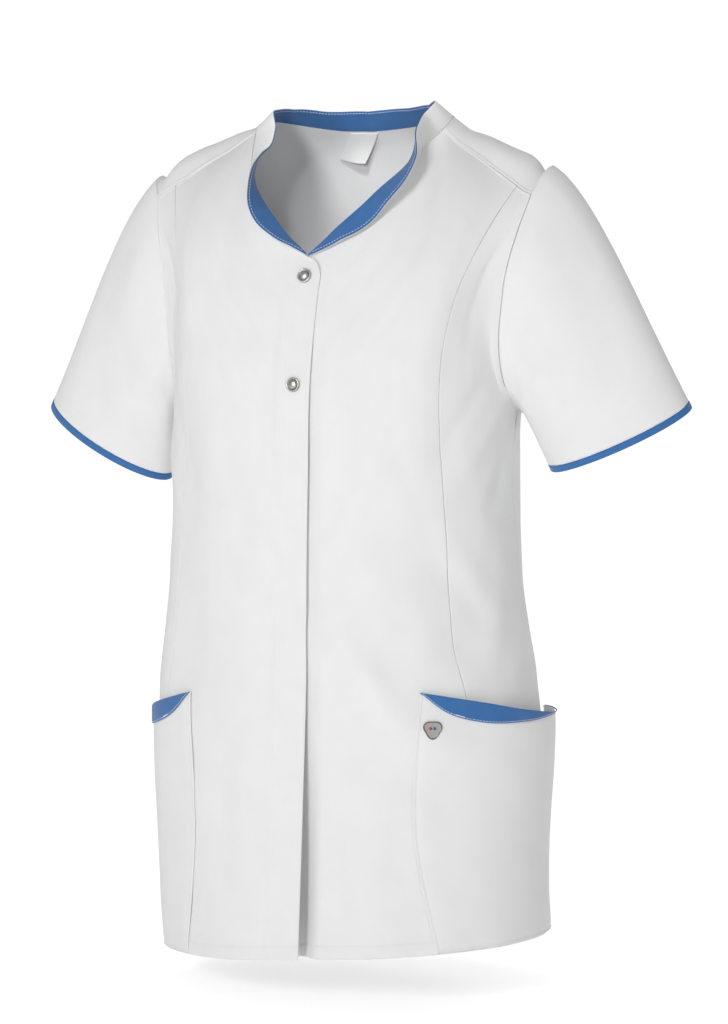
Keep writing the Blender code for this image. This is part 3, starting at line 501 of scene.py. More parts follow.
def lap_height(along_front, z, below_top, wearer_right):
    """Rise of the lapping right front, or drop of the left front under it."""
    near_top = smooth_step(below_top / CLOSURE_FADE)
    if wearer_right:
        rise = TOP_LAYER_STEP + (PLACKET_RISE - TOP_LAYER_STEP) * near_top
        return rise * smooth_step((PLACKET_WIDTH - LAP + PLACKET_SLOPE - along_front) / PLACKET_SLOPE)
    drop = TOP_LAYER_STEP + (UNDERLAP_DROP - TOP_LAYER_STEP) * near_top
    under = drop * smooth_step((UNDERLAP_REACH - along_front) / UNDERLAP_SLOPE)
    low = smooth_step((HEM_RECESS_FROM - z) / (HEM_RECESS_FROM - HEM_LEVEL))
    recess = HEM_RECESS * low * smooth_step((HEM_RECESS_REACH - along_front) / HEM_RECESS_SLOPE)
    return -(under + recess)


def grid_normals(grid, closed=False):
    """Outward direction at each point of a grid; a closed one joins its last column to its first."""
    if closed:
        across = np.roll(grid, -1, 1) - np.roll(grid, 1, 1)
    else:
        across = np.gradient(grid, axis=1)
    return unit(np.cross(across, np.gradient(grid, axis=0)))


def mirrored(grid):
    """The same grid on the wearer's right, with its columns still running towards +X in front."""
    return (grid * np.array([-1.0, 1.0, 1.0]))[:, ::-1]


def shared_normals(grids):
    """Vertex normals of every grid; panels that meet at a seam share its points and normals."""
    normals = {name: grid_normals(grid, name.startswith("sleeve")) for name, grid in grids.items()}
    rims = [(name, row, column) for name, grid in grids.items() for row in range(grid.shape[0])
            for column in range(grid.shape[1])
            if row in (0, grid.shape[0] - 1) or column in (0, grid.shape[1] - 1)]
    points = np.array([grids[name][row, column] for name, row, column in rims])
    facing = np.array([normals[name][row, column] for name, row, column in rims])
    for i, (name, row, column) in enumerate(rims):
        same = np.linalg.norm(points - points[i], axis=1) < SAME_POINT
        grids[name][row, column] = points[same].mean(0)
        normals[name][row, column] = unit(facing[same].sum(0))
    return normals


def pulled_back(grid, normals, sides, amount):
    """The grid with the named sides drawn in from their seams."""
    out = grid.copy()
    for side in sides:
        at, beside = (0, 1) if side in ("bottom", "first") else (-1, -2)
        upright = side in ("first", "last")
        if upright:
            edge, inner, normal = grid[:, at], grid[:, beside], normals[:, at]
        else:
            edge, inner, normal = grid[at], grid[beside], normals[at]
        tangent = np.gradient(edge, axis=0)
        inward = unit(np.cross(normal, tangent))
        inward *= np.sign(np.sum(inward * (inner - edge), -1, keepdims=True))
        if upright:
            out[:, at] += inward * amount
        else:
            out[at] += inward * amount
    return out


def refined(grid, top):
    """The panel's grid with FINE times as many cells, its last row laid on the given seam."""
    for _ in range(2):
        count = len(grid)
        places = np.linspace(0, count - 1, (count - 1) * FINE + 1)
        rows = through(range(count), grid.reshape(count, -1), places)
        grid = rows.reshape(len(rows), -1, 3).transpose(1, 0, 2)
    near_top = smooth_step(1 - np.arange(len(grid))[::-1] / (1.5 * FINE))
    return grid + near_top[:, None, None] * (top - grid[-1])


# Small creases that worn cloth keeps; around and width as in FOLDS
CREASE_FADE = 0.4
CREASE_FREE_EDGE = 0.004
CREASE_EDGE_FADE = 0.02
CREASES = dict(
    columns=("around", "lean", "high", "low", "width", "depth"),
    rows=(
        (62, -26, -0.225, -0.330, 0.010, -0.0024),
        (70, -34, -0.235, -0.360, 0.012, 0.0024),
        (80, -20, -0.255, -0.380, 0.011, -0.0020),
        (-60, 24, -0.225, -0.340, 0.011, -0.0024),
        (-72, 30, -0.240, -0.370, 0.012, 0.0020),
        (20, 40, -0.400, -0.560, 0.018, -0.0030),
        (34, 44, -0.430, -0.600, 0.018, 0.0028),
        (64, 22, -0.380, -0.480, 0.014, -0.0026),
        (74, -8, -0.400, -0.520, 0.015, 0.0026),
        (6, 6, -0.240, -0.460, 0.016, -0.0020),
        (-16, -6, -0.240, -0.480, 0.020, 0.0022),
        (-30, 4, -0.480, -0.780, 0.022, -0.0028),
        (-12, -4, -0.540, -0.790, 0.020, 0.0024),
        (16, 6, -0.560, -0.790, 0.022, -0.0030),
        (30, 2, -0.600, -0.790, 0.020, 0.0022),
        (112, 12, -0.260, -0.420, 0.014, -0.0018),
        (-112, -12, -0.260, -0.420, 0.014, -0.0018),
        (140, 20, -0.330, -0.470, 0.016, 0.0018),
        (-142, -20, -0.330, -0.470, 0.016, 0.0018),
        (165, 28, -0.100, -0.260, 0.020, -0.0014),
        (-165, -28, -0.100, -0.260, 0.020, -0.0014),
    ),
)

# Faint ripples of pressed cloth: waves per metre along each axis, and their height
RIPPLES = dict(
    columns=("along_x", "along_y", "along_z", "height"),
    rows=(
        (11.0, 3.0, 7.0, 0.0005),
        (23.0, 9.0, 17.0, 0.0003),
        (5.0, 19.0, 31.0, 0.00025),
    ),
)
RIPPLE_BEND = 0.6


def crease_height(points):
    """Small creases and the slight unevenness of pressed cloth."""
    around = np.degrees(np.arctan2(points[..., 0], -points[..., 1]))
    push = np.zeros(points.shape[:-1])
    for middle, lean, high, low, width, depth in table(CREASES, *CREASES["columns"]):
        down = (high - points[..., 2]) / (high - low)
        apart = (around - middle - lean * (down - 0.5) + 180) % 360 - 180
        across = np.radians(apart) * FOLD_RADIUS / width
        fade = smooth_step(down / CREASE_FADE) * smooth_step((1 - down) / CREASE_FADE)
        push += depth * np.exp(-across**2) * fade
    for along_x, along_y, along_z, height in RIPPLES["rows"]:
        waves = along_x * points[..., 0] + along_y * points[..., 1]
        push += height * np.sin(2 * math.pi * (waves + RIPPLE_BEND * np.sin(along_z * points[..., 2])))
    return push


def body_grids():
    """Middle surfaces of the five body panels, by name."""
    coarse, fine = seam_set(1), seam_set(FINE)
    front, princess = front_columns(front_top(coarse))
    side_length = lengths(front[-1])[-1]
    front = refined(resample(front, side_length), front_top(fine))
    half = resample(back_columns(back_top(coarse)), side_length)
    back_edge = back_top(fine)
    back = refined(evened(np.concatenate([half, mirrored(half)[:, 1:]], 1)),
                   np.vstack([back_edge, (back_edge * (-1, 1, 1))[::-1][1:]]))
    grids = {}
    for hand, grid in (("left", front), ("right", mirrored(front))):
        facing = grid_normals(grid)
        surface = grid + facing * fold_height(grid)[..., None]
        from_centre = np.abs(grid[..., 0]) * np.where((grid[..., 0] < 0) == (hand == "left"), -1, 1)
        lift = lap_height(from_centre, grid[..., 2], np.abs(grid[-1:, :, 2] - grid[..., 2]), hand == "right")
        lift += crease_height(place(grid)) * smooth_step((from_centre - CREASE_FREE_EDGE) / CREASE_EDGE_FADE)
        body = place(surface + grid_normals(surface) * lift[..., None])
        cut = princess * FINE if hand == "left" else body.shape[1] - 1 - princess * FINE
        parts = (body[:, :cut + 1], body[:, cut:])
        for part, panel in zip(("centre", "side"), parts if hand == "left" else parts[::-1]):
            grids["front_%s_%s" % (hand, part)] = panel
    facing = grid_normals(back)
    back = back + facing * (fold_height(back) + crease_height(back))[..., None]
    grids["back"] = place(back)
    return grids


# Profiles of an edge: distance in from it, share of the wall's half thickness, lift of the outer face
RAW_EDGE = ((0.0, 0.45, 0.0), (0.0004, 0.85, 0.0), (0.0013, 1.0, 0.0))
TURNED_HEM = ((0.0, 0.6, 0.0), (0.0005, 1.1, 0.00015), (0.0018, 1.2, 0.00025), (0.0102, 1.2, 0.00025),
              (0.0112, 1.0, 0.0), (0.0120, 1.0, -0.0004), (0.0134, 1.0, 0.0))
TOPSTITCHED = ((0.0, 0.6, 0.0), (0.0005, 1.0, 0.0004), (0.0014, 1.1, 0.0007), (0.0023, 1.0, -0.00005),
               (0.0040, 1.0, 0.0))


def edge_first(sheet, side):
    """The sheet turned so that the named side is its first line."""
    if side == "top":
        return sheet[::-1]
    if side == "first":
        return sheet.transpose(1, 0, 2)
    if side == "last":
        return sheet[:, ::-1].transpose(1, 0, 2)
    return sheet


def edge_back(sheet, side):
    """The sheet turned back from edge_first."""
    if side == "top":
        return sheet[::-1]
    if side == "first":
        return sheet.transpose(1, 0, 2)
    if side == "last":
        return sheet.transpose(1, 0, 2)[:, ::-1]
    return sheet


def inset_lines(sheet, distances):
    """Lines at the given distances in from a sheet's first line."""
    steps = np.linalg.norm(np.diff(sheet[..., :3], axis=0), axis=-1)
    run = np.vstack([np.zeros(sheet.shape[1]), np.cumsum(steps, 0)])
    lines = np.array([[[np.interp(distance, run[:, k], sheet[:, k, part]) for part in range(sheet.shape[2])]
                       for k in range(sheet.shape[1])] for distance in distances])
    return lines, run


def with_edges(grid, normals, edges, thickness):
    """The grid with the lines of each edge's profile, half the wall's thickness and the outer lift."""
    half = np.full(grid.shape[:2] + (1,), thickness / 2)
    sheet = np.concatenate([grid, normals, half, 0 * half], 2)
    for side, profile in edges.items():
        turned = edge_first(sheet, side)
        lines, run = inset_lines(turned[:40], [row[0] for row in profile])
        for line, (distance, share, lift) in zip(lines, profile):
            line[:, 6] *= share
            line[:, 7] += lift
        keep = int(np.argmax(run.min(1) > profile[-1][0] * 1.05))
        sheet = edge_back(np.concatenate([lines, turned[keep:]], 0), side)
    return sheet[..., :3], unit(sheet[..., 3:6]), sheet[..., 6:7], sheet[..., 7:8]


def sewn(name, grid, normals, sides, finish, thickness=CLOTH, closed=False, edges=()):
    """A closed cloth wall round a middle surface, drawn in at its seams and rounded at its edges."""
    grid = pulled_back(grid, normals, sides, SEAM_OPEN)
    rim_sides = ("bottom", "top") if closed else ("bottom", "top", "first", "last")
    profiles = {side: RAW_EDGE for side in rim_sides}
    profiles.update(edges)
    parts = with_edges(grid, normals, profiles, thickness)
    if closed:
        parts = [np.concatenate([part, part[:, :1]], 1) for part in parts]
    grid, normals, half, lift = parts
    rows, columns = grid.shape[:2]
    span = columns - 1 if closed else columns
    points = np.concatenate([(grid + normals * (half + lift))[:, :span].reshape(-1, 3),
                             (grid - normals * half)[:, :span].reshape(-1, 3)])
    j, i = np.meshgrid(np.arange(rows - 1), np.arange(columns - 1), indexing="ij")
    corners = [(j, i), (j, i + 1), (j + 1, i + 1), (j + 1, i)]
    index = [(a * span + b % span).ravel() for a, b in corners]
    other = rows * span
    faces = [np.stack(index, 1), np.stack([index[0], index[3], index[2], index[1]], 1) + other]
    places = [np.stack([a.ravel(), b.ravel()], 1) for a, b in corners]
    where = [np.stack(places, 1), np.stack([places[0], places[3], places[2], places[1]], 1)]
    rim = [((0, k), (0, k + 1)) for k in range(columns - 1)]
    rim += [((rows - 1, k + 1), (rows - 1, k)) for k in range(columns - 1)]
    if not closed:
        rim += [((k + 1, 0), (k, 0)) for k in range(rows - 1)]
        rim += [((k, columns - 1), (k + 1, columns - 1)) for k in range(rows - 1)]
    a, b = (np.array([edge[end] for edge in rim]) for end in (0, 1))
    at_a, at_b = a[:, 0] * span + a[:, 1] % span, b[:, 0] * span + b[:, 1] % span
    faces.append(np.stack([at_b, at_a, at_a + other, at_b + other], 1))
    where.append(np.stack([b, a, a, b], 1))
    faces, where = np.concatenate(faces), np.concatenate(where).reshape(-1, 2)
    mesh = bpy.data.meshes.new(name)
    mesh.from_pydata(points.tolist(), [], faces.tolist())
    across = np.mean([lengths(row) for row in grid[::max(1, rows // 8)]], 0)
    up = np.mean([lengths(grid[:, k]) for k in range(0, columns, max(1, columns // 8))], 0)
    layer = mesh.uv_layers.new(name="cloth")
    layer.data.foreach_set("uv", np.stack([across[where[:, 1]], up[where[:, 0]]], 1).ravel())
    mesh.shade_smooth()
    mesh.set_sharp_from_angle(angle=math.radians(70))
    piece = bpy.data.objects.new(name, mesh)
    bpy.context.scene.collection.objects.link(piece)
    mesh.materials.append(finish)
    return piece


def cut_size(grid, across):
    """Width, length and area of a panel laid flat; its width is its longest line across."""
    width = max(lengths(row)[-1] for row in across)
    length = max(0.010, *(lengths(grid[:, k])[-1] for k in range(grid.shape[1])))
    ahead, up = grid[:-1, 1:] - grid[:-1, :-1], grid[1:, :-1] - grid[:-1, :-1]
    area = float(np.linalg.norm(np.cross(ahead, up), axis=-1).sum())
    return (round(width, 3), round(length, 3)), round(min(area, width * length), 4)


def declare(piece, node, slot, grid, across=None):
    """Hides the piece's CAD node so that the piece stands in its place, and hangs it under the root; its cut
    size is worked out but not kept.
    """
    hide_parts(node)
    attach(piece, "root")
    flat, area = cut_size(grid, grid if across is None else across)


def weave_group():
    """Plain weave over a cloth UV in metres: a mask of raised threads, slubs and soft mottling."""
    group = bpy.data.node_groups.new("plain_weave", "ShaderNodeTree")
    face = group.interface
    for label, value in (("Thread Pitch", 0.0005), ("Slub", 0.5), ("Mottle Size", 0.03)):
        face.new_socket(name=label, in_out="INPUT", socket_type="NodeSocketFloat").default_value = value
    for label in ("Threads", "Mottle"):
        face.new_socket(name=label, in_out="OUTPUT", socket_type="NodeSocketFloat")
    nodes, links = group.nodes, group.links
    start, end = nodes.new("NodeGroupInput"), nodes.new("NodeGroupOutput")
    uv = nodes.new("ShaderNodeUVMap")
    uv.uv_map = "cloth"
    split = nodes.new("ShaderNodeSeparateXYZ")
    links.new(uv.outputs[0], split.inputs[0])

    def maths(kind, one, two=None):
        node = nodes.new("ShaderNodeMath")
        node.operation = kind
        for socket, value in zip(node.inputs, (one, two)):
            if value is None:
                continue
            if isinstance(value, (int, float)):
                socket.default_value = value
            else:
                links.new(value, socket)
        return node.outputs[0]

    turns = maths("DIVIDE", 2 * math.pi, start.outputs["Thread Pitch"])
    warp = maths("SINE", maths("MULTIPLY", split.outputs[0], turns))
    weft = maths("SINE", maths("MULTIPLY", split.outputs[1], turns))
    threads = maths("MULTIPLY", warp, weft)
    slub = nodes.new("ShaderNodeTexNoise")
    slub.inputs["Scale"].default_value = 900.0
    slub.inputs["Detail"].default_value = 2.0
    links.new(uv.outputs[0], slub.inputs["Vector"])
    rough = maths("MULTIPLY", maths("SUBTRACT", slub.outputs["Fac"], 0.5), start.outputs["Slub"])
    links.new(maths("ADD", maths("MULTIPLY", threads, 0.5), rough), end.inputs["Threads"])
    mottle = nodes.new("ShaderNodeTexNoise")
    mottle.inputs["Detail"].default_value = 3.0
    links.new(uv.outputs[0], mottle.inputs["Vector"])
    links.new(maths("DIVIDE", 1.0, start.outputs["Mottle Size"]), mottle.inputs["Scale"])
    links.new(mottle.outputs["Fac"], end.inputs["Mottle"])
    return group


WEAVE = weave_group()


def cloth_finish(name, low, high, roughness, pitch, bump, slub=0.5, mottle=0.03, sheen=0.15):
    """Woven cloth: two close shades that the mottling mixes, thread relief, painted shade and highlight of
    the weave in its colour, and a little sheen.
    """
    made = bpy.data.materials.new(name)
    made.use_nodes = True
    nodes, links = made.node_tree.nodes, made.node_tree.links
    shader = nodes["Principled BSDF"]
    shader.inputs["Roughness"].default_value = roughness
    shader.inputs["Sheen Weight"].default_value = sheen
    shader.inputs["Sheen Roughness"].default_value = 0.5
    shader.inputs["Specular IOR Level"].default_value = 0.25
    weave = nodes.new("ShaderNodeGroup")
    weave.node_tree = WEAVE
    weave.inputs["Thread Pitch"].default_value = pitch
    weave.inputs["Slub"].default_value = slub
    weave.inputs["Mottle Size"].default_value = mottle
    shade = nodes.new("ShaderNodeMix")
    shade.data_type = "RGBA"
    shade.inputs["A"].default_value = (*low, 1)
    shade.inputs["B"].default_value = (*high, 1)
    links.new(weave.outputs["Mottle"], shade.inputs["Factor"])
    # The weave mask also scales the colour: painted shade in the hollows between threads and painted
    # highlight on their tops, mixed with the slubs' own uneven tone.
    thread = nodes.new("ShaderNodeMix")
    thread.data_type = "RGBA"
    thread.blend_type = "MULTIPLY"
    thread.inputs["Factor"].default_value = 0.5
    weave_shade_and_slub = nodes.new("ShaderNodeMapRange")
    weave_shade_and_slub.inputs["From Min"].default_value = -0.6
    weave_shade_and_slub.inputs["From Max"].default_value = 0.6
    weave_shade_and_slub.inputs["To Min"].default_value = 0.86
    weave_shade_and_slub.inputs["To Max"].default_value = 1.06
    links.new(weave.outputs["Threads"], weave_shade_and_slub.inputs["Value"])
    links.new(shade.outputs["Result"], thread.inputs["A"])
    links.new(weave_shade_and_slub.outputs["Result"], thread.inputs["B"])
    links.new(thread.outputs["Result"], shader.inputs["Base Color"])
    relief = nodes.new("ShaderNodeBump")
    relief.inputs["Strength"].default_value = bump
    relief.inputs["Distance"].default_value = 0.0002
    links.new(weave.outputs["Threads"], relief.inputs["Height"])
    links.new(relief.outputs["Normal"], shader.inputs["Normal"])
    return made


WHITE = cloth_finish("white_polycotton", (0.80, 0.80, 0.805), (0.86, 0.86, 0.86), 0.8, 0.0006, 0.25)
GRIDS = body_grids()


# Sleeves
# Short set-in sleeves of the same white cloth, each a tube sewn into the armhole, with a turned
# hem under its binding.
CUFFS = {
    "left": dict(centre=(0.2611, 0.0133, -0.2927), long=(0.0643, 0.0, 0.0263), short=(0.0, 0.0330, 0.0145)),
    "right": dict(centre=(0.2607, 0.0131, -0.2983), long=(0.0655, 0.0, 0.0350), short=(0.0, 0.0280, 0.0105)),
}
SLEEVE_END_DIRECTION = (0.47, 0.04, -0.88)
SLEEVE_LEAVE = 0.66
SLEEVE_FADE_IN = 0.35
SLEEVE_FADE_OUT = 0.3
BINDING_WIDTH = 0.0068
SLEEVE_ROWS = 44


def sleeve_grid(loop, cuff_sizes):
    """Sleeve tube as if on the wearer's left, from the armhole to the end of its binding."""
    armpit = (ARMHOLE_TOP_COLUMNS + ARMHOLE_FRONT_COLUMNS) * FINE
    run = lengths(np.vstack([loop, loop[:1]]))
    front = run[:-1] / run[armpit]
    back = (run[-1] - run[:-1]) / (run[-1] - run[armpit])
    index = np.arange(len(loop))
    share = np.where(index <= armpit, front, back)
    hand = np.where(index <= armpit, -1.0, 1.0)
    angle = math.pi * share * hand
    cuff = (np.array(cuff_sizes["centre"]) + np.outer(np.cos(angle), cuff_sizes["long"])
            + np.outer(np.sin(angle), cuff_sizes["short"]))
    start = table_at(SLEEVE_START, "share", ("out", "round", "down"), share)
    start[:, 1] *= hand
    start[0, 1] = 0.0
    reach = np.linalg.norm(cuff - loop, axis=1, keepdims=True)
    leave = unit(start) * reach * SLEEVE_LEAVE
    arrive = unit(np.array(SLEEVE_END_DIRECTION)) * reach
    steps = np.linspace(0, 1, 60)
    columns = [hermite(loop[i], leave[i], cuff[i], arrive[i], steps) for i in range(len(loop))]
    rows = []
    for column in columns:
        length = lengths(column)[-1]
        body = np.linspace(0, length - BINDING_WIDTH, SLEEVE_ROWS + 1)
        rows.append(along(column, np.append(body, length)))
    return np.array(rows).transpose(1, 0, 2), share, hand


# Folds of a sleeve. share: 0 over the top, 0.5 in front or behind, 1 under the arm; hand: -1 front, 1 back
SLEEVE_FOLDS = dict(
    columns=("share", "hand", "turn", "high", "low", "width", "depth"),
    rows=(
        (0.62, -1, -0.20, 0.05, 0.95, 0.10, 0.0032),
        (0.80, -1, -0.25, 0.00, 0.60, 0.07, -0.0026),
        (0.30, -1, 0.10, 0.10, 0.90, 0.12, -0.0022),
        (0.70, 1, -0.20, 0.00, 0.80, 0.09, 0.0030),
        (0.40, 1, -0.10, 0.10, 0.95, 0.12, -0.0028),
        (0.12, 1, 0.05, 0.05, 0.70, 0.08, 0.0018),
    ),
)


def sleeve_folds(grid, shares, hands):
    """How far soft folds push the sleeve cloth outwards."""
    down = np.linspace(0, 1, len(grid))[:, None]
    push = np.zeros(grid.shape[:2])
    place_round = shares * hands
    for share, hand, turn, high, low, width, depth in table(SLEEVE_FOLDS, *SLEEVE_FOLDS["columns"]):
        part = (down - high) / (low - high)
        middle = (share + turn * (part - 0.5)) * hand
        apart = (place_round[None] - middle + 1) % 2 - 1
        fade = smooth_step(part / SLEEVE_FADE_IN) * smooth_step((1 - part) / SLEEVE_FADE_OUT)
        push += depth * np.exp(-(apart / width)**2) * fade
    return push


def arm_loop(times):
    """The armhole as one closed line, from its top round the front and the armpit."""
    seams = seam_set(times)
    crown = (ARMHOLE_BACK_COLUMNS - ARMHOLE_TOP_COLUMNS) * times
    return np.vstack([seams["arm_back"][crown:-1], seams["arm_front"][:-1], seams["arm_back"][:crown]])


for hand in ("left", "right"):
    tube, shares, hands = sleeve_grid(arm_loop(FINE), CUFFS[hand])
    tube = tube + grid_normals(tube, True) * sleeve_folds(tube, shares, hands)[..., None]
    GRIDS["sleeve_" + hand] = place(tube if hand == "left" else mirrored(tube))
NORMALS = shared_normals(GRIDS)
BODY_SEAMS = {
    "front_left_centre": ("last", "top"),
    "front_left_side": ("first", "last", "top"),
    "front_right_centre": ("first", "top"),
    "front_right_side": ("first", "last", "top"),
    "back": ("first", "last", "top"),
}
PANEL_EDGES = {"bottom": TURNED_HEM, "top": TOPSTITCHED}
for name, sides in BODY_SEAMS.items():
    panel = sewn(name + "_cloth", GRIDS[name], NORMALS[name], sides, WHITE, edges=PANEL_EDGES)
    declare(panel, name, "white", GRIDS[name],
            across=GRIDS[name][..., :2])
for hand in ("left", "right"):
    name = "sleeve_" + hand
    grid, facing = GRIDS[name][:-1], NORMALS[name][:-1]
    sleeve = sewn(name + "_cloth", grid, facing, ("bottom", "top"), WHITE, closed=True)
    round_arm = np.concatenate([grid, grid[:, :1]], 1)
    declare(sleeve, name, "white", round_arm,
            across=round_arm[SLEEVE_ROWS // 2:])


# Sleeve bindings
# A bias strip of royal blue cotton folded over the sleeve's raw edge and stitched down, so it
# stands a little thicker than the sleeve and has a soft round edge.
BINDING_THICKNESS = 0.0017
BINDING_ROWS = 5
BLUE = cloth_finish("royal_blue_cotton", (0.030, 0.135, 0.375), (0.055, 0.185, 0.450), 0.75, 0.0007, 0.5,
                    slub=1.1, mottle=0.012, sheen=0.3)
for hand in ("left", "right"):
    name = "sleeve_" + hand
    end, facing = GRIDS[name][-2:], NORMALS[name][-2:]
    share = np.linspace(0, 1, BINDING_ROWS)[:, None, None]
    strip = end[0] * (1 - share) + end[1] * share
    facing = unit(facing[0] * (1 - share) + facing[1] * share)
    binding = sewn("cuff_binding_%s_strip" % hand, strip, facing, ("bottom",), BLUE, BINDING_THICKNESS, True)
    round_arm = np.concatenate([strip, strip[:, :1]], 1)
    declare(binding, "cuff_binding_" + hand, "blue", round_arm)


# Collar
# A narrow stand collar, white outside and royal blue inside. It stands at the back of the neck and
# rolls outwards in front, so that the blue shows as two crescents that run down to the V.
BAND_CLOTH = 0.0008
LAYER_GAP = 0.0003
SOLID_CLOTH = 0.0012
SOLID_BAND = 0.0010
COLLAR_BACK_WIDTH = 0.0215
COLLAR_FRONT_WIDTH = 0.0222
COLLAR_TIP_WIDTH = 0.0015
COLLAR_TIP_SET_BACK = 0.28
COLLAR_TAPER = 0.23
COLLAR_BASE_LIFT = 0.0005
COLLAR_ROLL_AT = 0.34
COLLAR_ROLL_SPREAD = 0.20
COLLAR_COLUMNS = 192

# How the band rolls outwards in front. at and spread: shares of the way from its point to the
# centre back; lean: degrees from standing up
COLLAR_ROLL = dict(
    columns=("hand", "lean", "at", "spread"),
    rows=(
        (1, 168, 0.434, 0.531),
        (-1, 134, 0.290, 0.307),
    ),
)


def neckline(grids, normals):
    """Neck edge from the left front's point round the back to the right front's point."""
    right, back = grids["front_right_centre"], grids["back"]
    lap, neck = LAP_COLUMNS * FINE, NECK_FRONT_COLUMNS * FINE
    first = slice(lap, lap + neck + 1)
    last = slice(right.shape[1] - 1 - lap - neck, right.shape[1] - lap)
    middle = back.shape[1] // 2
    across = slice(middle - NECK_BACK_COLUMNS * FINE + 1, middle + NECK_BACK_COLUMNS * FINE)

    def chain(pick):
        return np.vstack([pick("front_left_centre")[first], pick("back")[across],
                          pick("front_right_centre")[last]])

    edge = chain(lambda name: grids[name][-1])
    under = chain(lambda name: grids[name][-2])
    normal = chain(lambda name: normals[name][-1])
    for line in (edge, under, normal):
        line[0] += (line[1] - line[0]) * COLLAR_TIP_SET_BACK
        line[-1] += (line[-2] - line[-1]) * COLLAR_TIP_SET_BACK
    tangent = unit(np.gradient(edge, axis=0))
    leave = unit(np.cross(normal, tangent))
    leave *= np.sign(np.sum(leave * (edge - under), -1, keepdims=True))
    return edge, normal, leave


def collar_grids(grids, normals):
    """Middle surfaces of the white and the blue layer of the collar band."""
    edge, normal, leave = neckline(grids, normals)
    places = np.linspace(0, len(edge) - 1, COLLAR_COLUMNS + 1)
    edge, normal, leave = (
        np.stack([np.interp(places, range(len(line)), line[:, axis]) for axis in range(3)], 1)
        for line in (edge, normal, leave))
    normal, leave = unit(normal), unit(leave)
    run = lengths(edge)
    from_tip = np.minimum(run, run[-1] - run) / (run[-1] / 2)
    rolled = 1 - smooth_step((from_tip - COLLAR_ROLL_AT) / COLLAR_ROLL_SPREAD + 0.5)
    lean = np.zeros(len(run))
    for hand, most, at, spread in table(COLLAR_ROLL, *COLLAR_ROLL["columns"]):
        on_side = (run - run[-1] / 2) * hand < 0
        lean += on_side * most * (1 - smooth_step((from_tip - at) / spread + 0.5))
    lean = np.radians(lean)[:, None]
    taper = np.sin(np.minimum(from_tip / COLLAR_TAPER, 1.0) * math.pi / 2)
    width = COLLAR_BACK_WIDTH + (COLLAR_FRONT_WIDTH - COLLAR_BACK_WIDTH) * rolled
    width = COLLAR_TIP_WIDTH + (width - COLLAR_TIP_WIDTH) * taper
    grow = np.cos(lean) * leave + np.sin(lean) * normal
    outside = np.cos(lean) * normal - np.sin(lean) * leave
    half = (SOLID_BAND + LAYER_GAP) / 2
    over_front = SOLID_CLOTH / 2 + LAYER_GAP + SOLID_BAND + half
    base = edge + leave * COLLAR_BASE_LIFT + normal * (lean / math.pi) * over_front
    steps = np.linspace(0, 1, 13)[:, None, None]
    middle = base + grow * width[:, None] * steps
    return {"collar_outer": middle + outside * half, "collar_facing": middle - outside * half}, outside


COLLAR, COLLAR_OUTSIDE = collar_grids(GRIDS, NORMALS)
for name, finish, slot in (("collar_outer", WHITE, "white"), ("collar_facing", BLUE, "blue")):
    grid, facing = COLLAR[name], np.broadcast_to(COLLAR_OUTSIDE, COLLAR[name].shape)
    if np.sum(grid_normals(grid) * facing) < 0:
        grid, facing = grid[:, ::-1], facing[:, ::-1]
    band = sewn(name + "_band", grid, facing, (), finish, BAND_CLOTH)
    declare(band, name, slot, grid)


# Patch pockets
# Two roomy patch pockets sewn over the side seams. Their mouths slope down towards the back and
# stand open, so the royal blue facing inside them shows.
POCKET_BACK_REACH = 0.040
POCKET_STAND_OFF = {"left": 0.0125, "right": 0.0055}
POCKET_HEM_CLEARANCE = 0.0015
POCKET_GAP = 0.0012
FACING_GAP = 0.0006
FACING_DEPTH = 0.0165
FACING_LEAST = 0.06
EDGE_HUG = 0.0009
HUG_ACROSS = 0.05
HUG_UP = 0.035
POCKET_OPENS_FROM = 0.15
POCKET_CREASING = 0.6
POCKET_COLUMNS = 56
POCKET_ROWS = 45

# Front edge of the pocket, and the height of its mouth along it
POCKET_EDGE = dict(
    columns=("z", "x"),
    rows=(
        (-0.760, 0.125),
        (-0.725, 0.119),
        (-0.690, 0.113),
        (-0.640, 0.108),
        (-0.580, 0.110),
        (-0.515, 0.115),
    ),
)
POCKET_MOUTH = dict(
    columns=("share", "z", "stand_off", "facing"),
    rows=(
        (0.0, -0.5190, 0.00, 0.00),
        (0.12, -0.5235, 0.10, 0.80),
        (0.3, -0.5310, 0.40, 1.10),
        (0.5, -0.5410, 0.80, 0.70),
        (0.75, -0.5490, 1.00, 0.10),
        (1.0, -0.5480, 0.55, 0.00),
    ),
)


def pocket_grid(row_shares, lift, most):
    """Points over the body at shares of the pocket's height, and how far they lift off it."""
    shares = np.linspace(0, 1, POCKET_COLUMNS + 1)
    mouth, stand_off = table_at(POCKET_MOUTH, "share", ("z", "stand_off"), shares).T
    low = HEM_LEVEL + POCKET_HEM_CLEARANCE
    grid = np.zeros((len(row_shares), len(shares), 3))
    for i, share in enumerate(shares):
        for j, up in enumerate(row_shares[:, i]):
            z = low + (mouth[i] - low) * up
            outline, run, marks = ring_stations(z)
            front_x = table_at(POCKET_EDGE, "z", ("x",), z)[0, 0]
            ahead = outline[:, 1] < 0
            start = np.interp(front_x, outline[ahead, 0], run[ahead])
            grid[j, i] = along(outline, [start + share * (marks[2] + POCKET_BACK_REACH - start)])[0]
    open_up = most * stand_off * smooth_step((row_shares - POCKET_OPENS_FROM) / (1 - POCKET_OPENS_FROM))
    return grid, open_up + lift


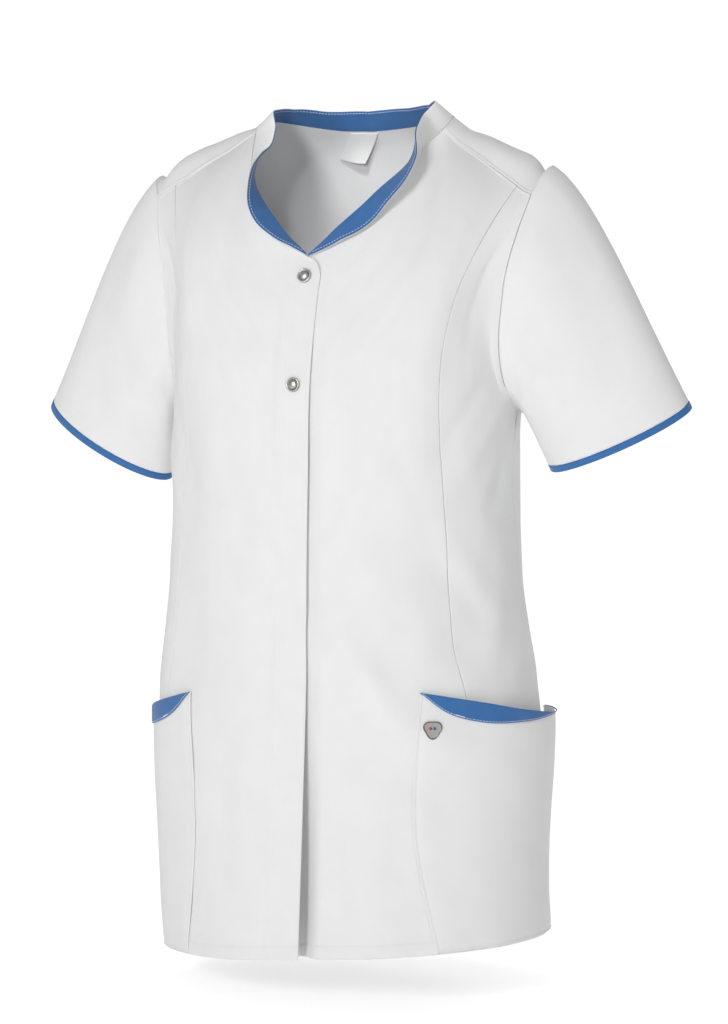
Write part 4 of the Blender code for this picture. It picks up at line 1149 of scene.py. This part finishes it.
lift = SOLID_CLOTH / 2 + POCKET_GAP + SOLID_BAND / 2
POCKET_SHARES = np.linspace(0, 1, POCKET_COLUMNS + 1)
mouth, facing_share = table_at(POCKET_MOUTH, "share", ("z", "facing"), POCKET_SHARES).T
pocket_rows = np.repeat(np.linspace(0, 1, POCKET_ROWS + 1)[:, None], POCKET_COLUMNS + 1, 1)
turn = FACING_DEPTH * np.maximum(facing_share, FACING_LEAST) / (mouth - HEM_LEVEL)
facing_rows = 1 - turn * np.linspace(1, 0, 9)[:, None]
POCKETS = {}
for hand in ("left", "right"):
    for name, finish, slot, rows_up, extra in (
            ("pocket_", WHITE, "white", pocket_rows, 0.0),
            ("pocket_facing_", BLUE, "blue", facing_rows, SOLID_BAND + FACING_GAP)):
        near = np.minimum(POCKET_SHARES, 1 - POCKET_SHARES)[None] / HUG_ACROSS
        hug = EDGE_HUG * (1 - smooth_step(np.minimum(near, rows_up / HUG_UP)))
        grid, off = pocket_grid(rows_up, lift + extra - hug, POCKET_STAND_OFF[hand])
        if hand == "right":
            grid, off = mirrored(grid), off[:, ::-1]
        off = off + fold_height(grid) + POCKET_CREASING * crease_height(grid)
        surface = place(grid + grid_normals(grid) * off[..., None])
        POCKETS[name + hand] = surface
        ridges = {side: TOPSTITCHED for side in ("first", "last", "bottom")} if finish == WHITE else ()
        patch = sewn(name + hand + "_patch", surface, grid_normals(surface), (), finish, BAND_CLOTH,
                     edges=ridges)
        declare(patch, name + hand, slot, surface)


# Label
# A small blank satin label sewn in under the collar at the back of the neck. It hangs a little
# askew and its free edge curls away from the cloth.
LABEL_SIZE = (0.0280, 0.0310)
LABEL_CENTRE_X = -0.009
LABEL_TOP = 0.001
LABEL_SLANT = 0.019
LABEL_CURL = 0.004
LABEL_CLOTH = 0.0006


def label_grid():
    """Middle surface of the label, hung from under the collar along the inside of the back."""
    back, normal = GRIDS["back"], NORMALS["back"]
    middle = back.shape[1] // 2
    across = np.linspace(-0.5, 0.5, 25) * LABEL_SIZE[0]
    rows = []
    for drop in np.linspace(1, 0, 25):
        place_down = LABEL_TOP + drop * LABEL_SIZE[1]
        line, facing = [], []
        for column in range(middle + 6 * FINE, middle - 6 * FINE - 1, -1):
            run = lengths(back[::-1, column])
            line.append([np.interp(place_down, run, back[::-1, column, axis]) for axis in range(3)])
            facing.append([np.interp(place_down, run, normal[::-1, column, axis]) for axis in range(3)])
        line, facing = np.array(line), np.array(facing)
        x = LABEL_CENTRE_X + across - LABEL_SLANT * drop
        point = np.stack([np.interp(x, line[:, 0], line[:, axis]) for axis in range(3)], 1)
        inward = -np.stack([np.interp(x, line[:, 0], facing[:, axis]) for axis in range(3)], 1)
        curl = LABEL_CURL * drop**2 * smooth_step(across / LABEL_SIZE[0] + 0.5)
        off = SOLID_CLOTH / 2 + 2 * LAYER_GAP + LABEL_CLOTH / 2 + curl
        rows.append(point + unit(inward) * off[:, None])
    return np.array(rows)


LABEL = label_grid()
SATIN = cloth_finish("white_label_satin", (0.84, 0.84, 0.84), (0.90, 0.90, 0.90), 0.45, 0.00035, 0.15,
                     sheen=0.0)
label = sewn("neck_label_satin", LABEL, grid_normals(LABEL), (), SATIN, LABEL_CLOTH)
declare(label, "neck_label", "label", LABEL)


# Press studs and badge
# Two sprung metal studs close the front; their nickel caps show on the lap. The badge is a small
# enamelled metal plate with rounded corners, riveted to the left pocket's front corner.
def metal_finish(name, colour, roughness, scratch):
    """Plated metal with a fine grain in its shade and its polish."""
    made = bpy.data.materials.new(name)
    made.use_nodes = True
    nodes, links = made.node_tree.nodes, made.node_tree.links
    shader = nodes["Principled BSDF"]
    shader.inputs["Metallic"].default_value = 1.0
    where = nodes.new("ShaderNodeTexCoord")
    grain = nodes.new("ShaderNodeTexNoise")
    grain.inputs["Scale"].default_value = 1500.0
    links.new(where.outputs["Object"], grain.inputs["Vector"])
    tone = nodes.new("ShaderNodeMix")
    tone.data_type = "RGBA"
    tone.inputs["A"].default_value = (*[0.85 * part for part in colour], 1)
    tone.inputs["B"].default_value = (*colour, 1)
    links.new(grain.outputs["Fac"], tone.inputs["Factor"])
    links.new(tone.outputs["Result"], shader.inputs["Base Color"])
    rub = nodes.new("ShaderNodeMapRange")
    rub.inputs["To Min"].default_value = roughness
    rub.inputs["To Max"].default_value = roughness + scratch
    links.new(grain.outputs["Fac"], rub.inputs["Value"])
    links.new(rub.outputs["Result"], shader.inputs["Roughness"])
    return made


def lie_of(node, outward):
    """Centre of a small CAD node's base, and its side, up and outward directions."""
    points = np.array([vertex.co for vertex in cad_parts[node].data.vertices])
    centre = (points.min(0) + points.max(0)) / 2
    normal = np.linalg.eigh(np.cov((points - points.mean(0)).T))[1][:, 0]
    normal *= np.sign(np.dot(normal, outward))
    side = unit(np.cross((0.0, 0.0, 1.0), normal))
    height = (points - centre) @ normal
    return centre + normal * height.min(), side, np.cross(normal, side), normal


def turned_disc(name, lie, outline, profile, finishes):
    """A disc of a given outline; profile rows are share of the outline, height and finish number."""
    base, side, up, normal = lie
    rings = [[base + side * x * share + up * y * share + normal * height for x, y in outline]
             for share, height, _ in profile]
    count = len(outline)
    points = [point for ring in rings for point in ring] + [base + normal * profile[-1][1], base]
    faces, marks = [], []
    for low in range(len(rings) - 1):
        for i in range(count):
            k = (i + 1) % count
            faces.append((low * count + i, low * count + k, (low + 1) * count + k, (low + 1) * count + i))
            marks.append(profile[low][2])
    last = (len(rings) - 1) * count
    for i in range(count):
        k = (i + 1) % count
        faces += [(last + i, last + k, len(points) - 2), (k, i, len(points) - 1)]
        marks += [profile[-1][2], 0]
    mesh = bpy.data.meshes.new(name)
    mesh.from_pydata([tuple(point) for point in points], [], faces)
    for finish in finishes:
        mesh.materials.append(finish)
    mesh.polygons.foreach_set("material_index", marks)
    mesh.shade_smooth()
    mesh.set_sharp_from_angle(angle=math.radians(55))
    piece = bpy.data.objects.new(name, mesh)
    bpy.context.scene.collection.objects.link(piece)
    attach(piece, "root")
    return piece


NICKEL = metal_finish("nickel", (0.55, 0.53, 0.50), 0.24, 0.16)
# A darker nickel for the groove of each stud cap: painted shade where the groove lies in shadow.
GROOVE_SHADE_NICKEL = metal_finish("nickel_painted_groove_shade", (0.34, 0.33, 0.31), 0.35, 0.2)
STUD_RADIUS = 0.0065
# Rows of the cap's profile with finish 1 are its groove, which takes the painted groove shade.
STUD_PROFILE = ((0.90, 0.0, 0), (0.97, 0.0002, 0), (1.0, 0.0007, 0), (0.985, 0.0012, 0), (0.93, 0.0016, 0),
                (0.85, 0.0017, 0), (0.77, 0.0015, 1), (0.73, 0.0010, 1), (0.66, 0.0009, 1), (0.60, 0.0013, 0),
                (0.54, 0.0019, 0), (0.40, 0.0022, 0), (0.22, 0.0024, 0), (0.06, 0.0025, 0))


def circle(radius, count):
    """Points round a circle."""
    turns = np.linspace(0, 2 * math.pi, count, False)
    return [(radius * math.cos(turn), radius * math.sin(turn)) for turn in turns]


for node in ("snap_1", "snap_2"):
    cap = turned_disc(node + "_cap", lie_of(node, (0, -1, 0)), circle(STUD_RADIUS, 48), STUD_PROFILE,
                      (NICKEL, GROOVE_SHADE_NICKEL))
    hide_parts(node)

BADGE_SIZE = 0.0160
BADGE_CORNERS = 0.13
DROP_RADIUS = 0.0014
DROP_LIFT = 0.0010
DROP_PROFILE = ((1.0, 0.0, 0), (1.0, 0.0003, 0), (0.8, 0.0005, 0), (0.3, 0.0006, 0))
ENAMEL = metal_finish("badge_enamel", (0.42, 0.405, 0.375), 0.35, 0.15)
ENAMEL.node_tree.nodes["Principled BSDF"].inputs["Metallic"].default_value = 0.3
RIM_DARK = metal_finish("badge_rim", (0.20, 0.19, 0.18), 0.3, 0.15)
TRIANGLE = []
for angle in np.linspace(0, 2 * math.pi, 60, False):
    radius = BADGE_SIZE / 2 * (1 - BADGE_CORNERS * math.cos(3 * (angle - math.pi / 2)))
    TRIANGLE.append((radius * math.cos(angle), radius * math.sin(angle)))
BADGE_PROFILE = ((0.95, 0.0, 0), (1.0, 0.0006, 0), (0.99, 0.0011, 0), (0.95, 0.0015, 0), (0.89, 0.0015, 0),
                 (0.86, 0.0012, 1), (0.80, 0.0011, 1), (0.40, 0.0012, 1), (0.10, 0.0012, 1))
badge_lie = lie_of("badge", (0.3, -1, 0))
badge = turned_disc("badge_plate", badge_lie, TRIANGLE, BADGE_PROFILE, (RIM_DARK, ENAMEL))
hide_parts("badge")

# Two plain enamel drops on the badge, in the tunic's blue and a red
for name, colour, x, y in (("badge_drop_blue", (0.04, 0.13, 0.40), 0.0017, 0.0008),
                           ("badge_drop_red", (0.50, 0.04, 0.05), -0.0018, 0.0008)):
    drop_finish = metal_finish(name + "_enamel", colour, 0.25, 0.1)
    drop_finish.node_tree.nodes["Principled BSDF"].inputs["Metallic"].default_value = 0.0
    base, side, up, normal = badge_lie
    on_badge = base + side * x + up * y + normal * DROP_LIFT
    turned_disc(name, (on_badge, side, up, normal), circle(DROP_RADIUS, 24), DROP_PROFILE,
                (drop_finish,))


# Stitching
# Every edge is held by lock stitches about three millimetres long: white thread on the body, the
# hems, the collar and the pockets, and blue thread on the sleeve bindings.
def stitch_tree():
    """Geometry nodes that lay short stitches end to end along the edges of a path."""
    tree = bpy.data.node_groups.new("stitch_row", "GeometryNodeTree")
    face = tree.interface
    face.new_socket(name="Path", in_out="INPUT", socket_type="NodeSocketGeometry")
    for label in ("Pitch", "Stitch Length", "Thread Radius"):
        face.new_socket(name=label, in_out="INPUT", socket_type="NodeSocketFloat")
    face.new_socket(name="Thread", in_out="INPUT", socket_type="NodeSocketMaterial")
    face.new_socket(name="Stitches", in_out="OUTPUT", socket_type="NodeSocketGeometry")
    nodes, links = tree.nodes, tree.links
    start, end = nodes.new("NodeGroupInput"), nodes.new("NodeGroupOutput")
    curve = nodes.new("GeometryNodeMeshToCurve")
    spaced = nodes.new("GeometryNodeResampleCurve")
    spaced.mode = "LENGTH"
    tangent = nodes.new("GeometryNodeInputTangent")
    turn = nodes.new("FunctionNodeAlignRotationToVector")
    turn.axis = "Z"
    bead = nodes.new("GeometryNodeMeshUVSphere")
    bead.inputs["Segments"].default_value = 6
    bead.inputs["Rings"].default_value = 4
    bead.inputs["Radius"].default_value = 1.0
    size = nodes.new("ShaderNodeCombineXYZ")
    half = nodes.new("ShaderNodeMath")
    half.operation = "MULTIPLY"
    half.inputs[1].default_value = 0.5
    rows = nodes.new("GeometryNodeInstanceOnPoints")
    real = nodes.new("GeometryNodeRealizeInstances")
    thread = nodes.new("GeometryNodeSetMaterial")
    links.new(start.outputs["Path"], curve.inputs["Mesh"])
    links.new(curve.outputs["Curve"], spaced.inputs["Curve"])
    links.new(start.outputs["Pitch"], spaced.inputs["Length"])
    links.new(tangent.outputs["Tangent"], turn.inputs["Vector"])
    links.new(start.outputs["Stitch Length"], half.inputs[0])
    links.new(start.outputs["Thread Radius"], size.inputs["X"])
    links.new(start.outputs["Thread Radius"], size.inputs["Y"])
    links.new(half.outputs[0], size.inputs["Z"])
    links.new(spaced.outputs["Curve"], rows.inputs["Points"])
    links.new(bead.outputs["Mesh"], rows.inputs["Instance"])
    links.new(turn.outputs["Rotation"], rows.inputs["Rotation"])
    links.new(size.outputs["Vector"], rows.inputs["Scale"])
    links.new(rows.outputs["Instances"], real.inputs["Geometry"])
    links.new(real.outputs["Geometry"], thread.inputs["Geometry"])
    links.new(start.outputs["Thread"], thread.inputs["Material"])
    links.new(thread.outputs["Geometry"], end.inputs["Stitches"])
    return tree


STITCHES = stitch_tree()


def thread_finish(name, colour):
    """Spun thread: a shade a tenth darker that the mottling mixes in, and the weave's painted shade in its
    hollows.
    """
    return cloth_finish(name, [0.9 * part for part in colour], colour, 0.6, 0.0004, 0.2, sheen=0.1)


WHITE_THREAD = thread_finish("white_thread", (0.88, 0.88, 0.88))
BLUE_THREAD = thread_finish("blue_thread", (0.03, 0.12, 0.36))


def stitch_path(grid, normals, side, inset, lift, span=(0.0, 1.0)):
    """Points at an inset from one side of a panel, over a share of that side, lifted off its middle."""
    sheet = edge_first(np.concatenate([grid, normals], 2), side)
    low, high = (int(round(share * (sheet.shape[1] - 1))) for share in span)
    (line,), _ = inset_lines(sheet[:60, low:high + 1], (inset,))
    return line[:, :3] + unit(line[:, 3:6]) * lift


def stitched(name, paths, thread, pitch=0.0032, length=0.0025, radius=0.00017):
    """Rows of stitches along the given paths, as one plain mesh."""
    mesh = bpy.data.meshes.new(name + "_path")
    points, edges = [], []
    for path in paths:
        edges += [(len(points) + k, len(points) + k + 1) for k in range(len(path) - 1)]
        points += [tuple(point) for point in path]
    mesh.from_pydata(points, edges, [])
    item = bpy.data.objects.new(name, mesh)
    bpy.context.scene.collection.objects.link(item)
    modifier = item.modifiers.new("stitches", "NODES")
    modifier.node_group = STITCHES
    sizes = {"Pitch": pitch, "Stitch Length": length, "Thread Radius": radius, "Thread": thread}
    for socket in STITCHES.interface.items_tree:
        if socket.name in sizes:
            modifier[socket.identifier] = sizes[socket.name]
    bpy.context.view_layer.update()
    plain = bpy.data.meshes.new_from_object(item.evaluated_get(bpy.context.evaluated_depsgraph_get()))
    item.modifiers.clear()
    item.data = plain
    bpy.data.meshes.remove(mesh)
    plain.name = name
    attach(item, "root")
    return item


# Stitches stand this far off the middle of a panel, or of a thinner band
OUTER = CLOTH / 2 + 0.00006
OVER_BAND = BAND_CLOTH / 2 + 0.00005
OVER_FACING = BAND_CLOTH / 2 + 0.0001
OVER_TACK = BAND_CLOTH / 2 + 0.0002


def panel_path(name, side, inset, span=(0.0, 1.0)):
    """A stitch path on the outside of a body panel."""
    return stitch_path(GRIDS[name], NORMALS[name], side, inset, OUTER, span)


HEM_INSET = 0.0112
PLACKET_EDGE_INSET = 0.0015
hem_paths = [panel_path(name, "bottom", HEM_INSET) for name in BODY_SEAMS]
stitched("hem_stitches", hem_paths, WHITE_THREAD)
stitched("placket_stitches", [panel_path("front_right_centre", "last", PLACKET_WIDTH),
                              panel_path("front_right_centre", "last", PLACKET_EDGE_INSET, (0.02, 0.98))],
         WHITE_THREAD)
half_columns = ARMHOLE_BACK_COLUMNS + len(YOKE_SHARES) - 1 + NECK_BACK_COLUMNS
arm_share = ARMHOLE_BACK_COLUMNS / (2 * half_columns)
yoke_share = (ARMHOLE_BACK_COLUMNS + len(YOKE_SHARES) - 1) / (2 * half_columns)
TOPSTITCH = 0.0016
stitched("yoke_stitches", [panel_path("back", "top", TOPSTITCH, (arm_share, yoke_share)),
                           panel_path("back", "top", TOPSTITCH, (1 - yoke_share, 1 - arm_share))],
         WHITE_THREAD)
stitched("armhole_stitches", [panel_path("back", "top", TOPSTITCH, (0.0, arm_share)),
                              panel_path("back", "top", TOPSTITCH, (1 - arm_share, 1.0)),
                              panel_path("front_left_side", "top", TOPSTITCH, (0.15, 1.0)),
                              panel_path("front_right_side", "top", TOPSTITCH, (0.0, 0.85))],
         WHITE_THREAD)
CUFF_HEM_INSET = 0.017
BINDING_INSET = 0.0013


def cuff_paths(rows, side, inset, lift):
    """A closed stitch path round each sleeve, on the given rows of its grid."""
    paths = []
    for name in ("sleeve_left", "sleeve_right"):
        path = stitch_path(GRIDS[name][rows], NORMALS[name][rows], side, inset, lift)
        paths.append(np.vstack([path, path[:1]]))
    return paths


stitched("cuff_hem_stitches", cuff_paths(slice(0, -1), "top", CUFF_HEM_INSET, OUTER), WHITE_THREAD)
stitched("binding_stitches", cuff_paths(slice(-2, None), "bottom", BINDING_INSET, BINDING_THICKNESS / 2),
         BLUE_THREAD)
collar_facing_normals = -np.broadcast_to(COLLAR_OUTSIDE, COLLAR["collar_facing"].shape)
COLLAR_INSET = 0.0021
COLLAR_SPAN = (0.01, 0.99)
collar_paths = [
    stitch_path(COLLAR["collar_facing"], collar_facing_normals, "top", COLLAR_INSET, OVER_FACING,
                COLLAR_SPAN),
    stitch_path(COLLAR["collar_outer"], -collar_facing_normals, "top", COLLAR_INSET, OVER_BAND,
                COLLAR_SPAN),
]
stitched("collar_stitches", collar_paths, WHITE_THREAD, pitch=0.0030, length=0.0023,
         radius=0.00024)
POCKET_HEM_INSET = 0.0105
FACING_INSET = 0.0012
TACK_INSET = 0.0014
TACK_SPAN = {"left": (0.17, 0.21), "right": (0.79, 0.83)}
pocket_paths, facing_paths, tack_paths = [], [], []
for hand in ("left", "right"):
    patch, strip = POCKETS["pocket_" + hand], POCKETS["pocket_facing_" + hand]
    facing = grid_normals(patch)
    front_side, back_side = ("first", "last") if hand == "left" else ("last", "first")
    for side, inset in ((front_side, TOPSTITCH), (back_side, TOPSTITCH), ("top", TOPSTITCH),
                        ("bottom", POCKET_HEM_INSET)):
        pocket_paths.append(stitch_path(patch, facing, side, inset, OVER_BAND))
    facing = grid_normals(strip)
    facing_paths.append(stitch_path(strip, facing, "bottom", FACING_INSET, OVER_FACING))
    tack_paths.append(stitch_path(strip, facing, "bottom", TACK_INSET, OVER_TACK, TACK_SPAN[hand]))
stitched("pocket_stitches", pocket_paths, WHITE_THREAD)
stitched("pocket_bar_tacks", tack_paths, WHITE_THREAD, pitch=0.0006, length=0.0022, radius=0.0005)
stitched("pocket_facing_stitches", facing_paths, WHITE_THREAD, pitch=0.0030, length=0.0024,
         radius=0.00026)


# Floor, light and camera
# A plain pale floor that runs up behind as one sweep, soft studio light mostly from low in front,
# and a camera at the photograph's angle.
FLOOR_LEVEL = -0.80
SWEEP = dict(front=-3.5, back=2.6, radius=1.2, top=4.0, half_width=6.0)
LAMP_TARGET = (0.0, 0.0, -0.35)
TARGET = (0.0101, 0.0047, -0.362)
EYE = (1.1076, -2.3489, -0.235)
LENS = 98.8

floor_mesh = bpy.data.meshes.new("floor")
radius, half_width = SWEEP["radius"], SWEEP["half_width"]
profile = [(SWEEP["front"], FLOOR_LEVEL)]
profile += [(SWEEP["back"] + radius * math.sin(turn), FLOOR_LEVEL + radius - radius * math.cos(turn))
            for turn in np.linspace(0, math.pi / 2, 13)]
profile += [(SWEEP["back"] + radius, SWEEP["top"])]
floor_mesh.from_pydata([(x, y, z) for y, z in profile for x in (-half_width, half_width)], [],
                       [(2 * k, 2 * k + 1, 2 * k + 3, 2 * k + 2) for k in range(len(profile) - 1)])
floor_mesh.shade_smooth()
floor = bpy.data.objects.new("floor", floor_mesh)
bpy.context.scene.collection.objects.link(floor)
paper = bpy.data.materials.new("studio_paper")
paper.use_nodes = True
paper_shader = paper.node_tree.nodes["Principled BSDF"]
paper_shader.inputs["Base Color"].default_value = (0.93, 0.93, 0.93, 1)
paper_shader.inputs["Roughness"].default_value = 0.9
paper_shader.inputs["Emission Color"].default_value = (1.0, 1.0, 1.0, 1)


def seen_white(tree, strength, lighting, seen):
    """Sets how strongly paper or sky shines: on the tunic, and where the camera sees it."""
    ray, choice = tree.nodes.new("ShaderNodeLightPath"), tree.nodes.new("ShaderNodeMapRange")
    choice.inputs["To Min"].default_value = lighting
    choice.inputs["To Max"].default_value = seen
    tree.links.new(ray.outputs["Is Camera Ray"], choice.inputs["Value"])
    tree.links.new(choice.outputs["Result"], strength)


seen_white(paper.node_tree, paper_shader.inputs["Emission Strength"], 0.25, 0.55)
floor_mesh.materials.append(paper)


def aimed(item, eye, target):
    """The lamp or camera, set at one point and turned to look at another."""
    item.location = eye
    item.rotation_euler = (Vector(target) - Vector(eye)).to_track_quat("-Z", "Y").to_euler()
    bpy.context.scene.collection.objects.link(item)
    return item


LAMPS = dict(
    columns=("name", "x", "y", "z", "size", "power"),
    rows=(
        ("key", -0.15, -3.05, 0.6, 0.9, 41.0),
        ("fill", 2.4, -2.4, 0.3, 2.2, 7.0),
        ("back", 0.6, 2.6, 0.6, 2.4, 8.0),
    ),
)
for name, x, y, z, size, power in LAMPS["rows"]:
    lamp = bpy.data.lights.new(name, "AREA")
    lamp.shape, lamp.size, lamp.energy = "DISK", size, power
    aimed(bpy.data.objects.new(name, lamp), (x, y, z), LAMP_TARGET)

# A small spot from above in front, which reaches only the inside of the neck
NECK_SPOT = dict(eye=(0.02, -0.25, 0.30), target=(0.005, 0.055, -0.090), power=5.0, cone=26, radius=0.03)
spot = bpy.data.lights.new("neck_spot", "SPOT")
spot.energy, spot.spot_size, spot.spot_blend = NECK_SPOT["power"], math.radians(NECK_SPOT["cone"]), 0.6
spot.shadow_soft_size = NECK_SPOT["radius"]
aimed(bpy.data.objects.new("neck_spot", spot), NECK_SPOT["eye"], NECK_SPOT["target"]).visible_camera = False

world = bpy.data.worlds.new("studio")
world.use_nodes = True
world.node_tree.nodes["Background"].inputs["Color"].default_value = (1.0, 1.0, 1.0, 1)
seen_white(world.node_tree, world.node_tree.nodes["Background"].inputs["Strength"], 0.37, 1.0)
scene = bpy.context.scene
scene.world = world
scene.view_settings.view_transform = "Standard"

lens = bpy.data.cameras.new("camera")
lens.lens, lens.sensor_width, lens.sensor_fit = LENS, 36.0, "AUTO"
lens.clip_start, lens.clip_end = 0.05, 50.0
scene.camera = aimed(bpy.data.objects.new("camera", lens), EYE, TARGET)
